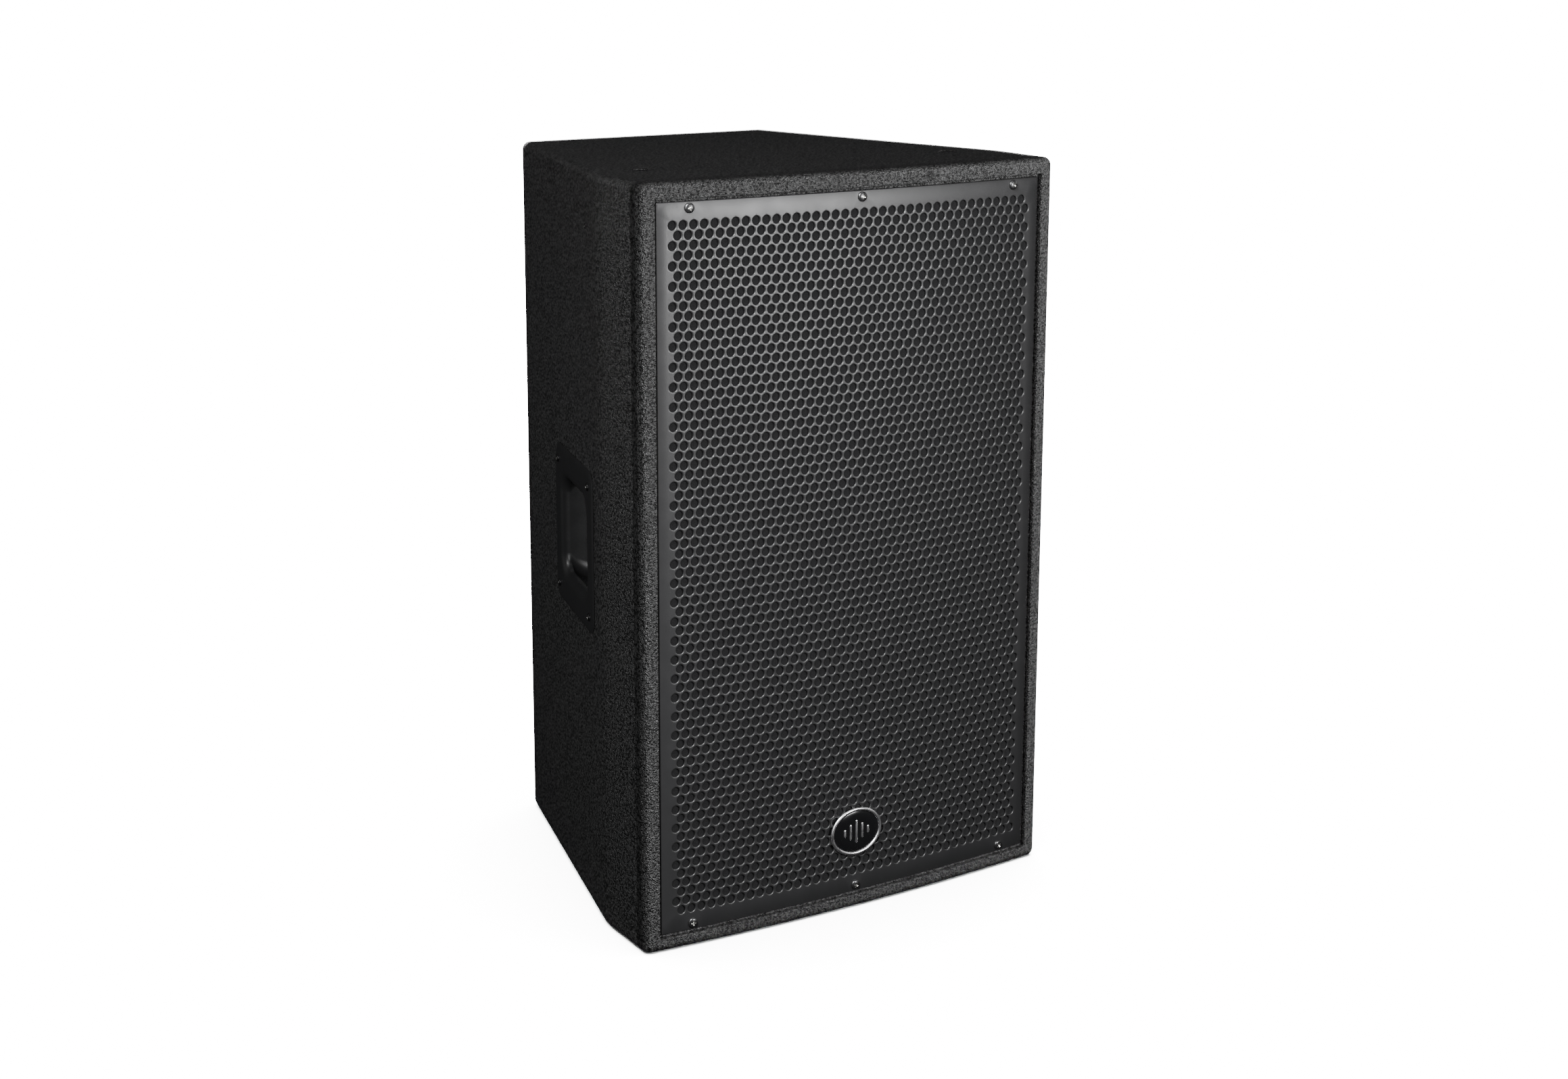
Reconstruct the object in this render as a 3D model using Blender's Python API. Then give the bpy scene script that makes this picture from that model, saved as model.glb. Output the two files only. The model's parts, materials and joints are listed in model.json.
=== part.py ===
"""Passive two-way PA loudspeaker cabinet with a 15 inch woofer and a compression driver on a horn.

Units are metres. +Z is up, the front faces -Y, and the origin is at the middle of the underside.
"""

import math

import bmesh
import bpy
from mathutils import Matrix, Vector
from mathutils.geometry import interpolate_bezier

# Cabinet
CABINET_WIDTH = 0.439  # at the front corners, before they are rounded
CABINET_HEIGHT = 0.688
CABINET_DEPTH = 0.396  # from the crown of the front to the back
FRONT_RADIUS = 2.28  # the front is a shallow cylinder, convex in plan
BEND_WIDTH = 0.4368  # across the bends in the side panels
BEND_SETBACK = 0.0876  # of the bends, behind the crown of the front
BACK_WIDTH = 0.275
WALL = 0.015
ROUND_OVER = 0.0075
GAP = 0.0003  # between neighbouring pieces

FRONT_Y = -CABINET_DEPTH / 2
BACK_Y = CABINET_DEPTH / 2
BEND_Y = FRONT_Y + BEND_SETBACK
FRONT_CENTRE_Y = FRONT_Y + FRONT_RADIUS

# Front frame
FRAME_BACK_Y = -0.1718
WINDOW_WIDTH = 0.385  # the opening behind the grille
WINDOW_HEIGHT = 0.625
FRONT_STEPS = 16  # straight runs along the curved front

# Grille
GRILLE_WIDTH = 0.404
GRILLE_HEIGHT = 0.6555
GRILLE_CENTRE_Z = 0.343
SEAT_MARGIN = 0.0024  # between the grille and the wall of its seat
GRILLE_SETBACK = 0.003
GRILLE_THICKNESS = 0.0015
FOAM_THICKNESS = 0.004
GRILLE_SCREW_X = (-0.1715, 0.0, 0.1715)
GRILLE_SCREW_Z = (0.0215, 0.665)
SCREW_HEAD_RADIUS = 0.0046
SCREW_HEAD_HEIGHT = 0.0021
SCREW_SHANK_RADIUS = 0.0018
SCREW_LENGTH = 0.012

# Badge on the grille
BADGE_WIDTH = 0.056
BADGE_HEIGHT = 0.046
BADGE_Z = 0.0745
BADGE_THICKNESS = 0.0018
BADGE_RIM = 0.0032

# Baffle and drivers
BAFFLE_Y = FRAME_BACK_Y + GAP  # its front face
BAFFLE_THICKNESS = 0.018
WOOFER_Z = 0.222
BASKET_RADIUS = 0.1935
BASKET_SPOKES = 8
MAGNET_RADIUS = 0.080
VOICE_COIL_RADIUS = 0.0381  # 3 inch former
HORN_Z = 0.572
HORN_FLANGE = (0.230, 0.190)
HORN_MOUTH = (0.200, 0.160)
HORN_DEPTH = 0.120
THROAT_RADIUS = 0.0127  # 1 inch exit
PORT_X = 0.145
PORT_Z = 0.447
PORT_RADIUS = 0.030
PORT_WALL = 0.003
PORT_LIP_RADIUS = 0.0374
PORT_LENGTH = 0.100

# Handles
HANDLE_ALONG = 0.102  # of the handle's middle, behind the bend and along the side
HANDLE_Z = 0.343
HANDLE_PLATE = (0.152, 0.152)
HANDLE_POCKET = (0.096, 0.090)
HANDLE_CUP = (0.118, 0.124)
HANDLE_DEPTH = 0.050
HANDLE_PLATE_THICKNESS = 0.002

# Rigging points, and the pole socket for a 35 mm pole
RIGGING_X = 0.1655
RIGGING_Y = -0.0945
RIGGING_RECESS_RADIUS = 0.0085
RIGGING_RECESS_DEPTH = 0.0035
RIGGING_THREAD_RADIUS = 0.005
POLE_Y = -0.020
POLE_BORE_RADIUS = 0.0179
POLE_WALL = 0.0026
POLE_DEPTH = 0.085
POLE_FLANGE_RADIUS = 0.050
POLE_FLANGE_THICKNESS = 0.0025

# Connector dish in the back, and the crossover behind it
DISH_Z = 0.330
DISH_PLATE = (0.152, 0.102)
DISH_POCKET = (0.130, 0.080)
DISH_DEPTH = 0.042
DISH_WALL = 0.0025
SOCKET_X = 0.032
BOARD_SIZE = (0.160, 0.110)
BOARD_Z = 0.160

# Brace
BRACE_Z = (0.440, 0.455)
BRACE_Y = (0.030, 0.110)

LEAD_RADIUS = 0.0022

ROUND_STEPS = 32
SMALL_STEPS = 24
SCREW_STEPS = 12


def clear_scene():
    for obj in list(bpy.data.objects):
        bpy.data.objects.remove(obj, do_unlink=True)


def finish(name, color, roughness, metallic=0.0):
    """A Principled material."""
    material = bpy.data.materials.new(name)
    material.use_nodes = True
    shader = material.node_tree.nodes["Principled BSDF"]
    shader.inputs["Base Color"].default_value = (*color, 1.0)
    shader.inputs["Roughness"].default_value = roughness
    shader.inputs["Metallic"].default_value = metallic
    material.diffuse_color = (*color, 1.0)
    return material


# Placing and joining


def add(name, bm, material=None, smooth=True, parent=None):
    """An object made from a bmesh, with its faces turned outwards."""
    bmesh.ops.recalc_face_normals(bm, faces=bm.faces)
    mesh = bpy.data.meshes.new(name)
    bm.to_mesh(mesh)
    bm.free()
    if smooth:
        mesh.shade_smooth()
        mesh.set_sharp_from_angle(angle=math.radians(35))
    if material:
        mesh.materials.append(material)
    obj = bpy.data.objects.new(name, mesh)
    bpy.context.scene.collection.objects.link(obj)
    obj.parent = parent
    return obj


def copy_of(source, name, parent=None):
    """Another object that shares its mesh with the first."""
    obj = bpy.data.objects.new(name, source.data)
    bpy.context.scene.collection.objects.link(obj)
    obj.parent = parent
    return obj


def frame_at(name, location, rotation=(0.0, 0.0, 0.0)):
    """An empty that its pieces are parented to."""
    empty = bpy.data.objects.new(name, None)
    bpy.context.scene.collection.objects.link(empty)
    empty.location = location
    empty.rotation_euler = rotation
    return empty


def boolean(target, other, operation="DIFFERENCE"):
    """Cuts or joins target with a helper object that isn't rendered."""
    other.hide_render = True
    other.display_type = "WIRE"
    modifier = target.modifiers.new(f"{operation.title()}_{other.name}", "BOOLEAN")
    modifier.operation = operation
    modifier.solver = "EXACT"
    modifier.object = other


# Outlines


def ellipse(width, height, steps=ROUND_STEPS):
    angles = [math.tau * i / steps for i in range(steps)]
    return [(width / 2 * math.cos(a), height / 2 * math.sin(a)) for a in angles]


def rounded_rectangle(width, height, radius, steps=4):
    """Counter-clockwise, about (0, 0)."""
    corners = []
    for i, (sx, sy) in enumerate(((1, 1), (-1, 1), (-1, -1), (1, -1))):
        for step in range(steps + 1):
            angle = math.pi / 2 * (i + step / steps)
            x = sx * (width / 2 - radius) + radius * math.cos(angle)
            y = sy * (height / 2 - radius) + radius * math.sin(angle)
            corners.append((x, y))
    return corners


def superellipse(width, height, power, steps):
    """From a circle at power 2 to a rectangle with tight corners at a high power."""
    points = []
    for i in range(steps):
        c = math.cos(math.tau * (i + 0.5) / steps)
        s = math.sin(math.tau * (i + 0.5) / steps)
        x = width / 2 * math.copysign(abs(c) ** (2 / power), c)
        y = height / 2 * math.copysign(abs(s) ** (2 / power), s)
        points.append((x, y))
    return points


def shifted(outline, dx, dy):
    return [(x + dx, y + dy) for x, y in outline]


# Cabinet plan


def front_y(x, setback=0.0):
    """Y of the curved front, or of a surface parallel to it further back."""
    return FRONT_CENTRE_Y - math.sqrt((FRONT_RADIUS - setback) ** 2 - x * x)


def front_arc(half_width, setback, steps=FRONT_STEPS):
    """Points along the front, from -X to +X."""
    xs = [half_width * (2 * i / steps - 1) for i in range(steps + 1)]
    return [(x, front_y(x, setback)) for x in xs]


def side_line(inset=0.0):
    """Front end, bend and back end of the right side's outer face in plan, or of a surface inset from it."""
    front = Vector((CABINET_WIDTH / 2, front_y(CABINET_WIDTH / 2)))
    bend = Vector((BEND_WIDTH / 2, BEND_Y))
    back = Vector((BACK_WIDTH / 2, BACK_Y))
    runs = [(bend - front).normalized(), (back - bend).normalized()]
    inward = [Vector((-run.y, run.x)) for run in runs]
    at_bend = bend + (inward[0] + inward[1]) * inset / (1 + inward[0].dot(inward[1]))
    return front + inward[0] * inset, at_bend, back + inward[1] * inset


def side_x(y, inset=0.0):
    """Half the cabinet's width at y, less an inset measured square to the side."""
    front, bend, back = side_line(inset)
    a, b = (front, bend) if y < bend.y else (bend, back)
    return a.x + (b.x - a.x) * (y - a.y) / (b.y - a.y)


def mirrored(points):
    """The same plan on the left side."""
    return [(-x, y) for x, y in reversed(points)]


# Solids


def prism(outline, low, high, axis="Z"):
    """A flat outline carried from low to high along Z, or along Y for an outline in X and Z."""
    bm = bmesh.new()
    if axis == "Z":
        base = [bm.verts.new((a, b, low)) for a, b in outline]
        travel = Vector((0, 0, high - low))
    else:
        base = [bm.verts.new((a, low, b)) for a, b in outline]
        travel = Vector((0, high - low, 0))
    made = bmesh.ops.extrude_face_region(bm, geom=[bm.faces.new(base)])
    moved = [v for v in made["geom"] if isinstance(v, bmesh.types.BMVert)]
    bmesh.ops.translate(bm, verts=moved, vec=travel)
    return bm


def turned(profile, steps=ROUND_STEPS):
    """A closed loop of (radius, height) points, turned about Z."""
    bm = bmesh.new()
    verts = [bm.verts.new((radius, 0, height)) for radius, height in profile]
    pairs = [(verts[i - 1], verts[i]) for i in range(len(verts))]
    edges = [bm.edges.new(pair) for pair in pairs if pair[0].co.x > 0 or pair[1].co.x > 0]
    bmesh.ops.spin(
        bm,
        geom=verts + edges,
        cent=(0, 0, 0),
        axis=(0, 0, 1),
        angle=math.tau,
        steps=steps,
        use_merge=True,
    )
    bmesh.ops.remove_doubles(bm, verts=bm.verts, dist=1e-6)
    return bm


def drill(radius, low, high, steps=SMALL_STEPS):
    """A plain round cutter about Z."""
    return turned([(0.0, low), (radius, low), (radius, high), (0.0, high)], steps)


def washer(inner, outer, low, high, steps=ROUND_STEPS):
    """A flat ring about Z."""
    return turned([(inner, low), (outer, low), (outer, high), (inner, high)], steps)


def lofted(rings, capped=False):
    """A skin through rings of equal length. It has flat ends, or else the last ring joins the first."""
    bm = bmesh.new()
    loops = [[bm.verts.new(point) for point in ring] for ring in rings]
    following = loops[1:]
    if capped:
        bm.faces.new(loops[0])
        bm.faces.new(loops[-1])
    else:
        following.append(loops[0])
    for last, loop in zip(loops, following):
        for k in range(len(loop)):
            bm.faces.new((last[k - 1], last[k], loop[k], loop[k - 1]))
    return bm


def merged(parts):
    """Several separate closed solids in one bmesh, for use as one cutter."""
    whole = bmesh.new()
    for part in parts:
        mesh = bpy.data.meshes.new("merged")
        bmesh.ops.recalc_face_normals(part, faces=part.faces)
        part.to_mesh(mesh)
        part.free()
        whole.from_mesh(mesh)
        bpy.data.meshes.remove(mesh)
    return whole


def outer_faces(point):
    """Which of the cabinet's outer surfaces a point lies on."""
    close = 1e-5
    x, y, z = abs(point.x), point.y, point.z
    tests = {
        "top": abs(z - CABINET_HEIGHT) < close,
        "bottom": abs(z) < close,
        "back": abs(y - BACK_Y) < close,
        "side": abs(x - side_x(y)) < close,
        "front": x < CABINET_WIDTH / 2 + close and abs(y - front_y(x)) < close,
    }
    return {name for name, on in tests.items() if on}


def round_outer_edges(bm):
    """Rounds the edges where two of the cabinet's outer surfaces meet, but not the joints between panels."""
    on = {v: outer_faces(v.co) for v in bm.verts}
    edges = [e for e in bm.edges if len(on[e.verts[0]] & on[e.verts[1]]) > 1]
    bevel(bm, edges, ROUND_OVER, segments=3)
    return bm


def bevel(bm, edges, offset, segments):
    bmesh.ops.bevel(
        bm,
        geom=edges,
        offset=offset,
        segments=segments,
        profile=0.5,
        affect="EDGES",
        clamp_overlap=True,
    )


# Cabinet shell


def side_panels(paint):
    """The bent plywood sides, behind the front frame."""
    outer = side_line()
    inner = side_line(WALL)
    end = BACK_Y - WALL - GAP
    plan = [
        (side_x(BAFFLE_Y), BAFFLE_Y),
        tuple(outer[1]),
        (side_x(end), end),
        (side_x(end, WALL), end),
        tuple(inner[1]),
        (side_x(BAFFLE_Y, WALL), BAFFLE_Y),
    ]
    panels = []
    for name, outline in (("left_side_panel", mirrored(plan)), ("right_side_panel", plan)):
        bm = round_outer_edges(prism(outline, 0.0, CABINET_HEIGHT))
        panels.append(add(name, bm, paint))
    return panels


def top_and_bottom_panels(paint):
    """They lie between the side panels, behind the front frame and in front of the back panel."""
    inset = WALL + GAP
    end = BACK_Y - WALL - GAP
    bend = side_line(inset)[1]
    half = [(side_x(BAFFLE_Y, inset), BAFFLE_Y), tuple(bend), (side_x(end, inset), end)]
    plan = half + mirrored(half)
    top = add("top_panel", prism(plan, CABINET_HEIGHT - WALL, CABINET_HEIGHT), paint)
    bottom = add("bottom_panel", prism(plan, 0.0, WALL), paint)
    return top, bottom


def back_panel(paint):
    start = BACK_Y - WALL
    half = [(side_x(start), start), (BACK_WIDTH / 2, BACK_Y)]
    plan = half + mirrored(half)
    return add("back_panel", round_outer_edges(prism(plan, 0.0, CABINET_HEIGHT)), paint)


def front_frame(paint):
    """The curved border round the grille, with a seat for the grille. It is as wide as the cabinet."""
    corner = [(side_x(FRAME_BACK_Y), FRAME_BACK_Y)]
    plan = front_arc(CABINET_WIDTH / 2, 0.0) + corner + mirrored(corner)
    frame = add("front_frame", round_outer_edges(prism(plan, 0.0, CABINET_HEIGHT)), paint)

    floor = front_arc(GRILLE_WIDTH / 2 + SEAT_MARGIN, GRILLE_SETBACK + GRILLE_THICKNESS + GAP)
    seat_plan = [(floor[0][0], FRONT_Y - WALL)] + floor + [(floor[-1][0], FRONT_Y - WALL)]
    half_height = GRILLE_HEIGHT / 2 + SEAT_MARGIN
    seat = prism(seat_plan, GRILLE_CENTRE_Z - half_height, GRILLE_CENTRE_Z + half_height)
    boolean(frame, add("cut_grille_seat", seat))

    half_width, low = WINDOW_WIDTH / 2, (CABINET_HEIGHT - WINDOW_HEIGHT) / 2
    high = CABINET_HEIGHT - low
    window = [(-half_width, low), (half_width, low), (half_width, high), (-half_width, high)]
    boolean(frame, add("cut_window", prism(window, FRONT_Y - WALL, BAFFLE_Y + WALL, axis="Y")))
    return frame


def internal_brace(wood):
    inset = WALL + GAP
    front, back = BRACE_Y
    plan = [
        (side_x(front, inset), front),
        (side_x(back, inset), back),
        (-side_x(back, inset), back),
        (-side_x(front, inset), front),
    ]
    return add("internal_brace", prism(plan, *BRACE_Z), wood)


# Front


def curved_sheet(name, width, span, setback, thickness, material):
    """A sheet parallel to the curved front, over a span of heights."""
    outer = front_arc(width / 2, setback)
    inner = front_arc(width / 2, setback + thickness)
    return add(name, prism(outer + inner[::-1], *span), material)


def grille(steel, foam_grey):
    """The steel sheet, and the foam lining that fills the frame's window behind it."""
    low = GRILLE_CENTRE_Z - GRILLE_HEIGHT / 2
    span = (low, low + GRILLE_HEIGHT)
    sheet = curved_sheet("front_grille", GRILLE_WIDTH, span, GRILLE_SETBACK, GRILLE_THICKNESS, steel)
    margin = 2 * GAP
    low = (CABINET_HEIGHT - WINDOW_HEIGHT) / 2 + margin
    span = (low, CABINET_HEIGHT - low)
    behind = GRILLE_SETBACK + GRILLE_THICKNESS + GAP
    curved_sheet("grille_foam", WINDOW_WIDTH - 2 * margin, span, behind, FOAM_THICKNESS, foam_grey)
    return sheet


def screw_head_profile(head, height, shank, length):
    """A pan head above z = 0 and a shank below it."""
    return [
        (0.0, height),
        (head * 0.55, height * 0.94),
        (head * 0.88, height * 0.6),
        (head, height * 0.12),
        (head, 0.0),
        (shank, 0.0),
        (shank, -length),
        (0.0, -length),
    ]


def grille_screws(sheet, frame, steel):
    """Six pan-head screws through the grille into the front frame."""
    profile = screw_head_profile(SCREW_HEAD_RADIUS, SCREW_HEAD_HEIGHT, SCREW_SHANK_RADIUS, SCREW_LENGTH)
    first = add("grille_screw_1", turned(profile, SCREW_STEPS), steel)
    places = [(x, z) for z in GRILLE_SCREW_Z for x in GRILLE_SCREW_X]
    for number, (x, z) in enumerate(places, start=1):
        screw = first if number == 1 else copy_of(first, f"grille_screw_{number}")
        screw.location = (x, front_y(x, GRILLE_SETBACK - GAP), z)
        screw.rotation_euler = (math.pi / 2, 0.0, math.asin(x / FRONT_RADIUS))
        hole = drill(SCREW_SHANK_RADIUS + 0.0005, -SCREW_LENGTH - 0.002, 0.01, SCREW_STEPS)
        cutter = add(f"cut_grille_screw_{number}", hole)
        cutter.location = screw.location
        cutter.rotation_euler = screw.rotation_euler
        boolean(sheet, cutter)
        boolean(frame, cutter)


def badge(black, chrome):
    """A plain oval plate in a polished ring, on the grille."""
    back = front_y(BADGE_WIDTH / 2, GRILLE_SETBACK) - GAP - 0.0002
    front = back - BADGE_THICKNESS
    shoulder = front + 0.0008

    def oval(inset):
        outline = ellipse(BADGE_WIDTH - 2 * inset, BADGE_HEIGHT - 2 * inset)
        return shifted(outline, 0.0, BADGE_Z)

    section = ((0.0, back), (0.0, shoulder), (BADGE_RIM / 2, front), (BADGE_RIM, shoulder), (BADGE_RIM, back))
    rings = [[(x, y, z) for x, z in oval(inset)] for inset, y in section]
    add("badge_ring", lofted(rings), chrome)
    add("badge_plate", prism(oval(BADGE_RIM + GAP), shoulder + 0.0001, back, axis="Y"), black)


# Baffle, woofer, horn and ports


def driver_frame(name, x, z):
    """An empty on the baffle's front face whose local +Z points back into the cabinet."""
    return frame_at(name, (x, BAFFLE_Y, z), (-math.pi / 2, 0.0, 0.0))


def stepped_hole(name, parent, rebate_radius, rebate_depth, hole_radius, steps=ROUND_STEPS):
    profile = [
        (0.0, -0.01),
        (rebate_radius, -0.01),
        (rebate_radius, rebate_depth),
        (hole_radius, rebate_depth),
        (hole_radius, BAFFLE_THICKNESS + 0.01),
        (0.0, BAFFLE_THICKNESS + 0.01),
    ]
    return add(name, turned(profile, steps), parent=parent)


def front_baffle(wood, woofer_frame, horn_frame, port_frames):
    half = side_x(BAFFLE_Y, WALL + GAP) - 0.0005
    low, high = WALL + GAP, CABINET_HEIGHT - WALL - GAP
    outline = [(-half, low), (half, low), (half, high), (-half, high)]
    board = prism(outline, BAFFLE_Y, BAFFLE_Y + BAFFLE_THICKNESS, axis="Y")
    baffle = add("front_baffle", board, wood, smooth=False)
    boolean(baffle, stepped_hole("cut_woofer", woofer_frame, BASKET_RADIUS + 0.0007, 0.0113, 0.178))
    rebate, bore = PORT_LIP_RADIUS + GAP, PORT_RADIUS + PORT_WALL + 0.0005
    for number, port in enumerate(port_frames, start=1):
        boolean(baffle, stepped_hole(f"cut_port_{number}", port, rebate, 0.0026, bore, SMALL_STEPS))
    flange = rounded_rectangle(HORN_FLANGE[0] + 0.001, HORN_FLANGE[1] + 0.001, 0.008)
    neck = rounded_rectangle(HORN_MOUTH[0] + 0.010, HORN_MOUTH[1] + 0.010, 0.008)
    boolean(baffle, add("cut_horn_flange", prism(flange, -0.01, 0.0043), parent=horn_frame))
    boolean(baffle, add("cut_horn_neck", prism(neck, -0.01, BAFFLE_THICKNESS + 0.01), parent=horn_frame))


def woofer_basket(casting, parent):
    """Cast frame with a window between each two spokes."""
    profile = [
        (0.1720, 0.0041),
        (BASKET_RADIUS, 0.0041),
        (BASKET_RADIUS, 0.0110),
        (0.1765, 0.0110),
        (0.1765, 0.0220),
        (0.1050, 0.0880),
        (0.1050, 0.1040),
        (0.0450, 0.1040),
        (0.0450, 0.1000),
        (0.0880, 0.1000),
        (0.0880, 0.0840),
        (0.1015, 0.0840),
        (0.1720, 0.0190),
    ]
    basket = add("woofer_basket", turned(profile), casting, parent=parent)
    windows = []
    for i in range(BASKET_SPOKES):
        window = prism([(0.098, -0.020), (0.185, -0.045), (0.185, 0.045), (0.098, 0.020)], 0.028, 0.078)
        turn = Matrix.Rotation(math.tau * (i + 0.5) / BASKET_SPOKES, 3, "Z")
        bmesh.ops.rotate(window, verts=window.verts, matrix=turn)
        windows.append(window)
    boolean(basket, add("cut_basket_windows", merged(windows), parent=parent))


def woofer_surround(rubber, parent):
    """Pleated cloth edge between basket and cone."""
    thickness = 0.0006
    flat, crest = 0.0032, -0.0008
    middle = [(0.1800, flat), (0.1690, flat)]
    middle += [(0.1690 - 0.0052 * i, crest if i % 2 else flat) for i in range(1, 4)]
    middle += [(0.1480, flat)]
    front = middle
    rear = [(radius, height + thickness) for radius, height in reversed(middle)]
    add("woofer_surround", turned(front + rear), rubber, parent=parent)


def woofer_cone(paper, parent):
    """Slightly curved paper cone, from the surround down to the voice coil."""
    rim, neck = Vector((0.1490, 0.0042)), Vector((0.0389, 0.0640))
    front = []
    for i in range(6):
        t = i / 5
        point = rim.lerp(neck, t)
        front.append((point.x, point.y + 0.006 * math.sin(math.pi * t)))
    back = [(radius, height + 0.0014) for radius, height in reversed(front)]
    add("woofer_cone", turned(front + back), paper, parent=parent)


def woofer_dust_cap(paper, parent):
    """Dome over the voice coil, just clear of the cone's face."""
    edge_radius, edge_height, rise = 0.0500, 0.0583, 0.0130
    dome = []
    for i in range(5):
        radius = edge_radius * i / 4
        dome.append((radius, edge_height - rise * (1 - (radius / edge_radius) ** 2)))
    inside = [(radius, height + 0.0010) for radius, height in reversed(dome)]
    add("woofer_dust_cap", turned(dome + inside), paper, parent=parent)


def woofer_voice_coil(copper, parent):
    """Former with its winding, in the magnet's gap."""
    inner = VOICE_COIL_RADIUS - 0.0004
    profile = [
        (inner, 0.0625),
        (VOICE_COIL_RADIUS, 0.0625),
        (VOICE_COIL_RADIUS, 0.1015),
        (VOICE_COIL_RADIUS + 0.0008, 0.1015),
        (VOICE_COIL_RADIUS + 0.0008, 0.1150),
        (VOICE_COIL_RADIUS, 0.1150),
        (VOICE_COIL_RADIUS, 0.1180),
        (inner, 0.1180),
    ]
    add("woofer_voice_coil", turned(profile, SMALL_STEPS), copper, parent=parent)


def woofer_spider(cloth, parent):
    """Corrugated centring disc between basket and voice coil."""
    thickness = 0.0006
    middle = [(VOICE_COIL_RADIUS + GAP, 0.0830), (0.0430, 0.0830)]
    middle += [(0.0430 + 0.0110 * i, 0.0830 - (0.0022 if i % 2 else 0.0)) for i in range(1, 5)]
    middle += [(0.1005, 0.0830)]
    rear = [(radius, height + thickness) for radius, height in reversed(middle)]
    add("woofer_spider", turned(middle + rear), cloth, parent=parent)


def woofer_motor(steel, ferrite, parent):
    """Front plate, ring magnet, and back plate with a vented pole."""
    bore, plate_radius = VOICE_COIL_RADIUS + 0.0018, MAGNET_RADIUS - 0.0025
    front, magnet_front, magnet_back = 0.1043, 0.1126, 0.1346
    plate = washer(bore, plate_radius, front, magnet_front - GAP)
    add("woofer_front_plate", plate, steel, parent=parent)
    add("woofer_magnet", washer(0.0520, MAGNET_RADIUS, magnet_front, magnet_back), ferrite, parent=parent)
    pole, vent, vent_flare, back = VOICE_COIL_RADIUS - 0.0012, 0.0120, 0.0060, magnet_back + 0.0103
    profile = [
        (vent, front - GAP),
        (pole, front - GAP),
        (pole, magnet_back + GAP),
        (plate_radius, magnet_back + GAP),
        (plate_radius, back),
        (vent + vent_flare, back),
        (vent, back - vent_flare),
    ]
    add("woofer_back_plate", turned(profile), steel, parent=parent)


def woofer_gasket(rubber, parent):
    """Sealing ring over the outer edge of the surround."""
    add("woofer_gasket", washer(0.1705, BASKET_RADIUS - 0.0005, 0.0004, 0.0029), rubber, parent=parent)


def horn(plastic, parent):
    """Rectangular mouth that narrows to a round throat, with a flange at the mouth."""
    steps, stages, skin, flange_depth = 24, 5, 0.003, 0.0040

    def ring(width, height, power, depth):
        return [(x, y, depth) for x, y in superellipse(width, height, power, steps)]

    def section(t, extra, depth):
        """Size of the bore at a fraction t of the way from mouth to throat."""
        ease = (1 - t) ** 1.6
        width = 2 * THROAT_RADIUS + (HORN_MOUTH[0] - 2 * THROAT_RADIUS) * ease + 2 * extra
        height = 2 * THROAT_RADIUS + (HORN_MOUTH[1] - 2 * THROAT_RADIUS) * ease + 2 * extra
        return ring(width, height, 2 + 5 * ease, depth)

    mouth, throat = 0.0005, HORN_DEPTH
    depths = [mouth + (throat - mouth) * i / stages for i in range(stages + 1)]
    bore = [section(i / stages, 0.0, depth) for i, depth in enumerate(depths)]
    shell = [section(i / stages, skin, depth) for i, depth in enumerate(depths)][1:-1]
    flange = [ring(*HORN_FLANGE, 14, mouth), ring(*HORN_FLANGE, 14, flange_depth)]
    root = ring(HORN_MOUTH[0] + 2 * skin, HORN_MOUTH[1] + 2 * skin, 7, flange_depth)
    collar = [ring(0.072, 0.072, 2, throat - 0.005), ring(0.072, 0.072, 2, throat)]
    add("horn_flare", lofted(flange + [root] + shell + collar + bore[::-1]), plastic, parent=parent)


def compression_driver(steel, ferrite, titanium, casting, parent):
    """Ferrite motor on the horn's throat, with its dome behind the phase plug."""
    start = HORN_DEPTH + GAP
    coil, pole, outside = 0.0218, 0.0205, 0.0450
    yoke_back, magnet_back, plate_back = start + 0.0100, start + 0.0253, start + 0.0306
    yoke = [
        (THROAT_RADIUS, start),
        (outside, start),
        (outside, yoke_back),
        (pole, yoke_back),
        (pole, start + 0.0300),
        (0.0090, start + 0.0300),
    ]
    add("hf_yoke", turned(yoke, SMALL_STEPS), steel, parent=parent)
    magnet = washer(0.0290, 0.0500, yoke_back + GAP, magnet_back, SMALL_STEPS)
    add("hf_magnet", magnet, ferrite, parent=parent)
    plate = washer(0.0228, outside, magnet_back + GAP, plate_back, SMALL_STEPS)
    add("hf_gap_plate", plate, steel, parent=parent)

    crown, rise, rim, skin, former_end = start + 0.0390, 0.0060, start + 0.0325, 0.0005, start + 0.0270
    dome = [(coil * i / 4, crown - rise * (i / 4) ** 2) for i in range(5)]
    inside = [(radius, height - skin) for radius, height in dome[:-1]]
    skirt = [(coil + 0.0020, rim + skin), (coil + 0.0020, rim), (coil, rim)]
    skirt += [(coil, former_end), (coil - 0.0004, former_end), (coil - 0.0004, rim)]
    diaphragm = turned(dome + skirt + inside[::-1], SMALL_STEPS)
    add("hf_diaphragm", diaphragm, titanium, parent=parent)

    low, high, hollow = plate_back + GAP, start + 0.0500, 0.0260
    cover = [
        (hollow, low),
        (outside, low),
        (outside, high - 0.0030),
        (outside - 0.0030, high),
        (0.0, high),
        (0.0, high - 0.0030),
        (hollow, high - 0.0060),
    ]
    add("hf_rear_cover", turned(cover, SMALL_STEPS), casting, parent=parent)


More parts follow.
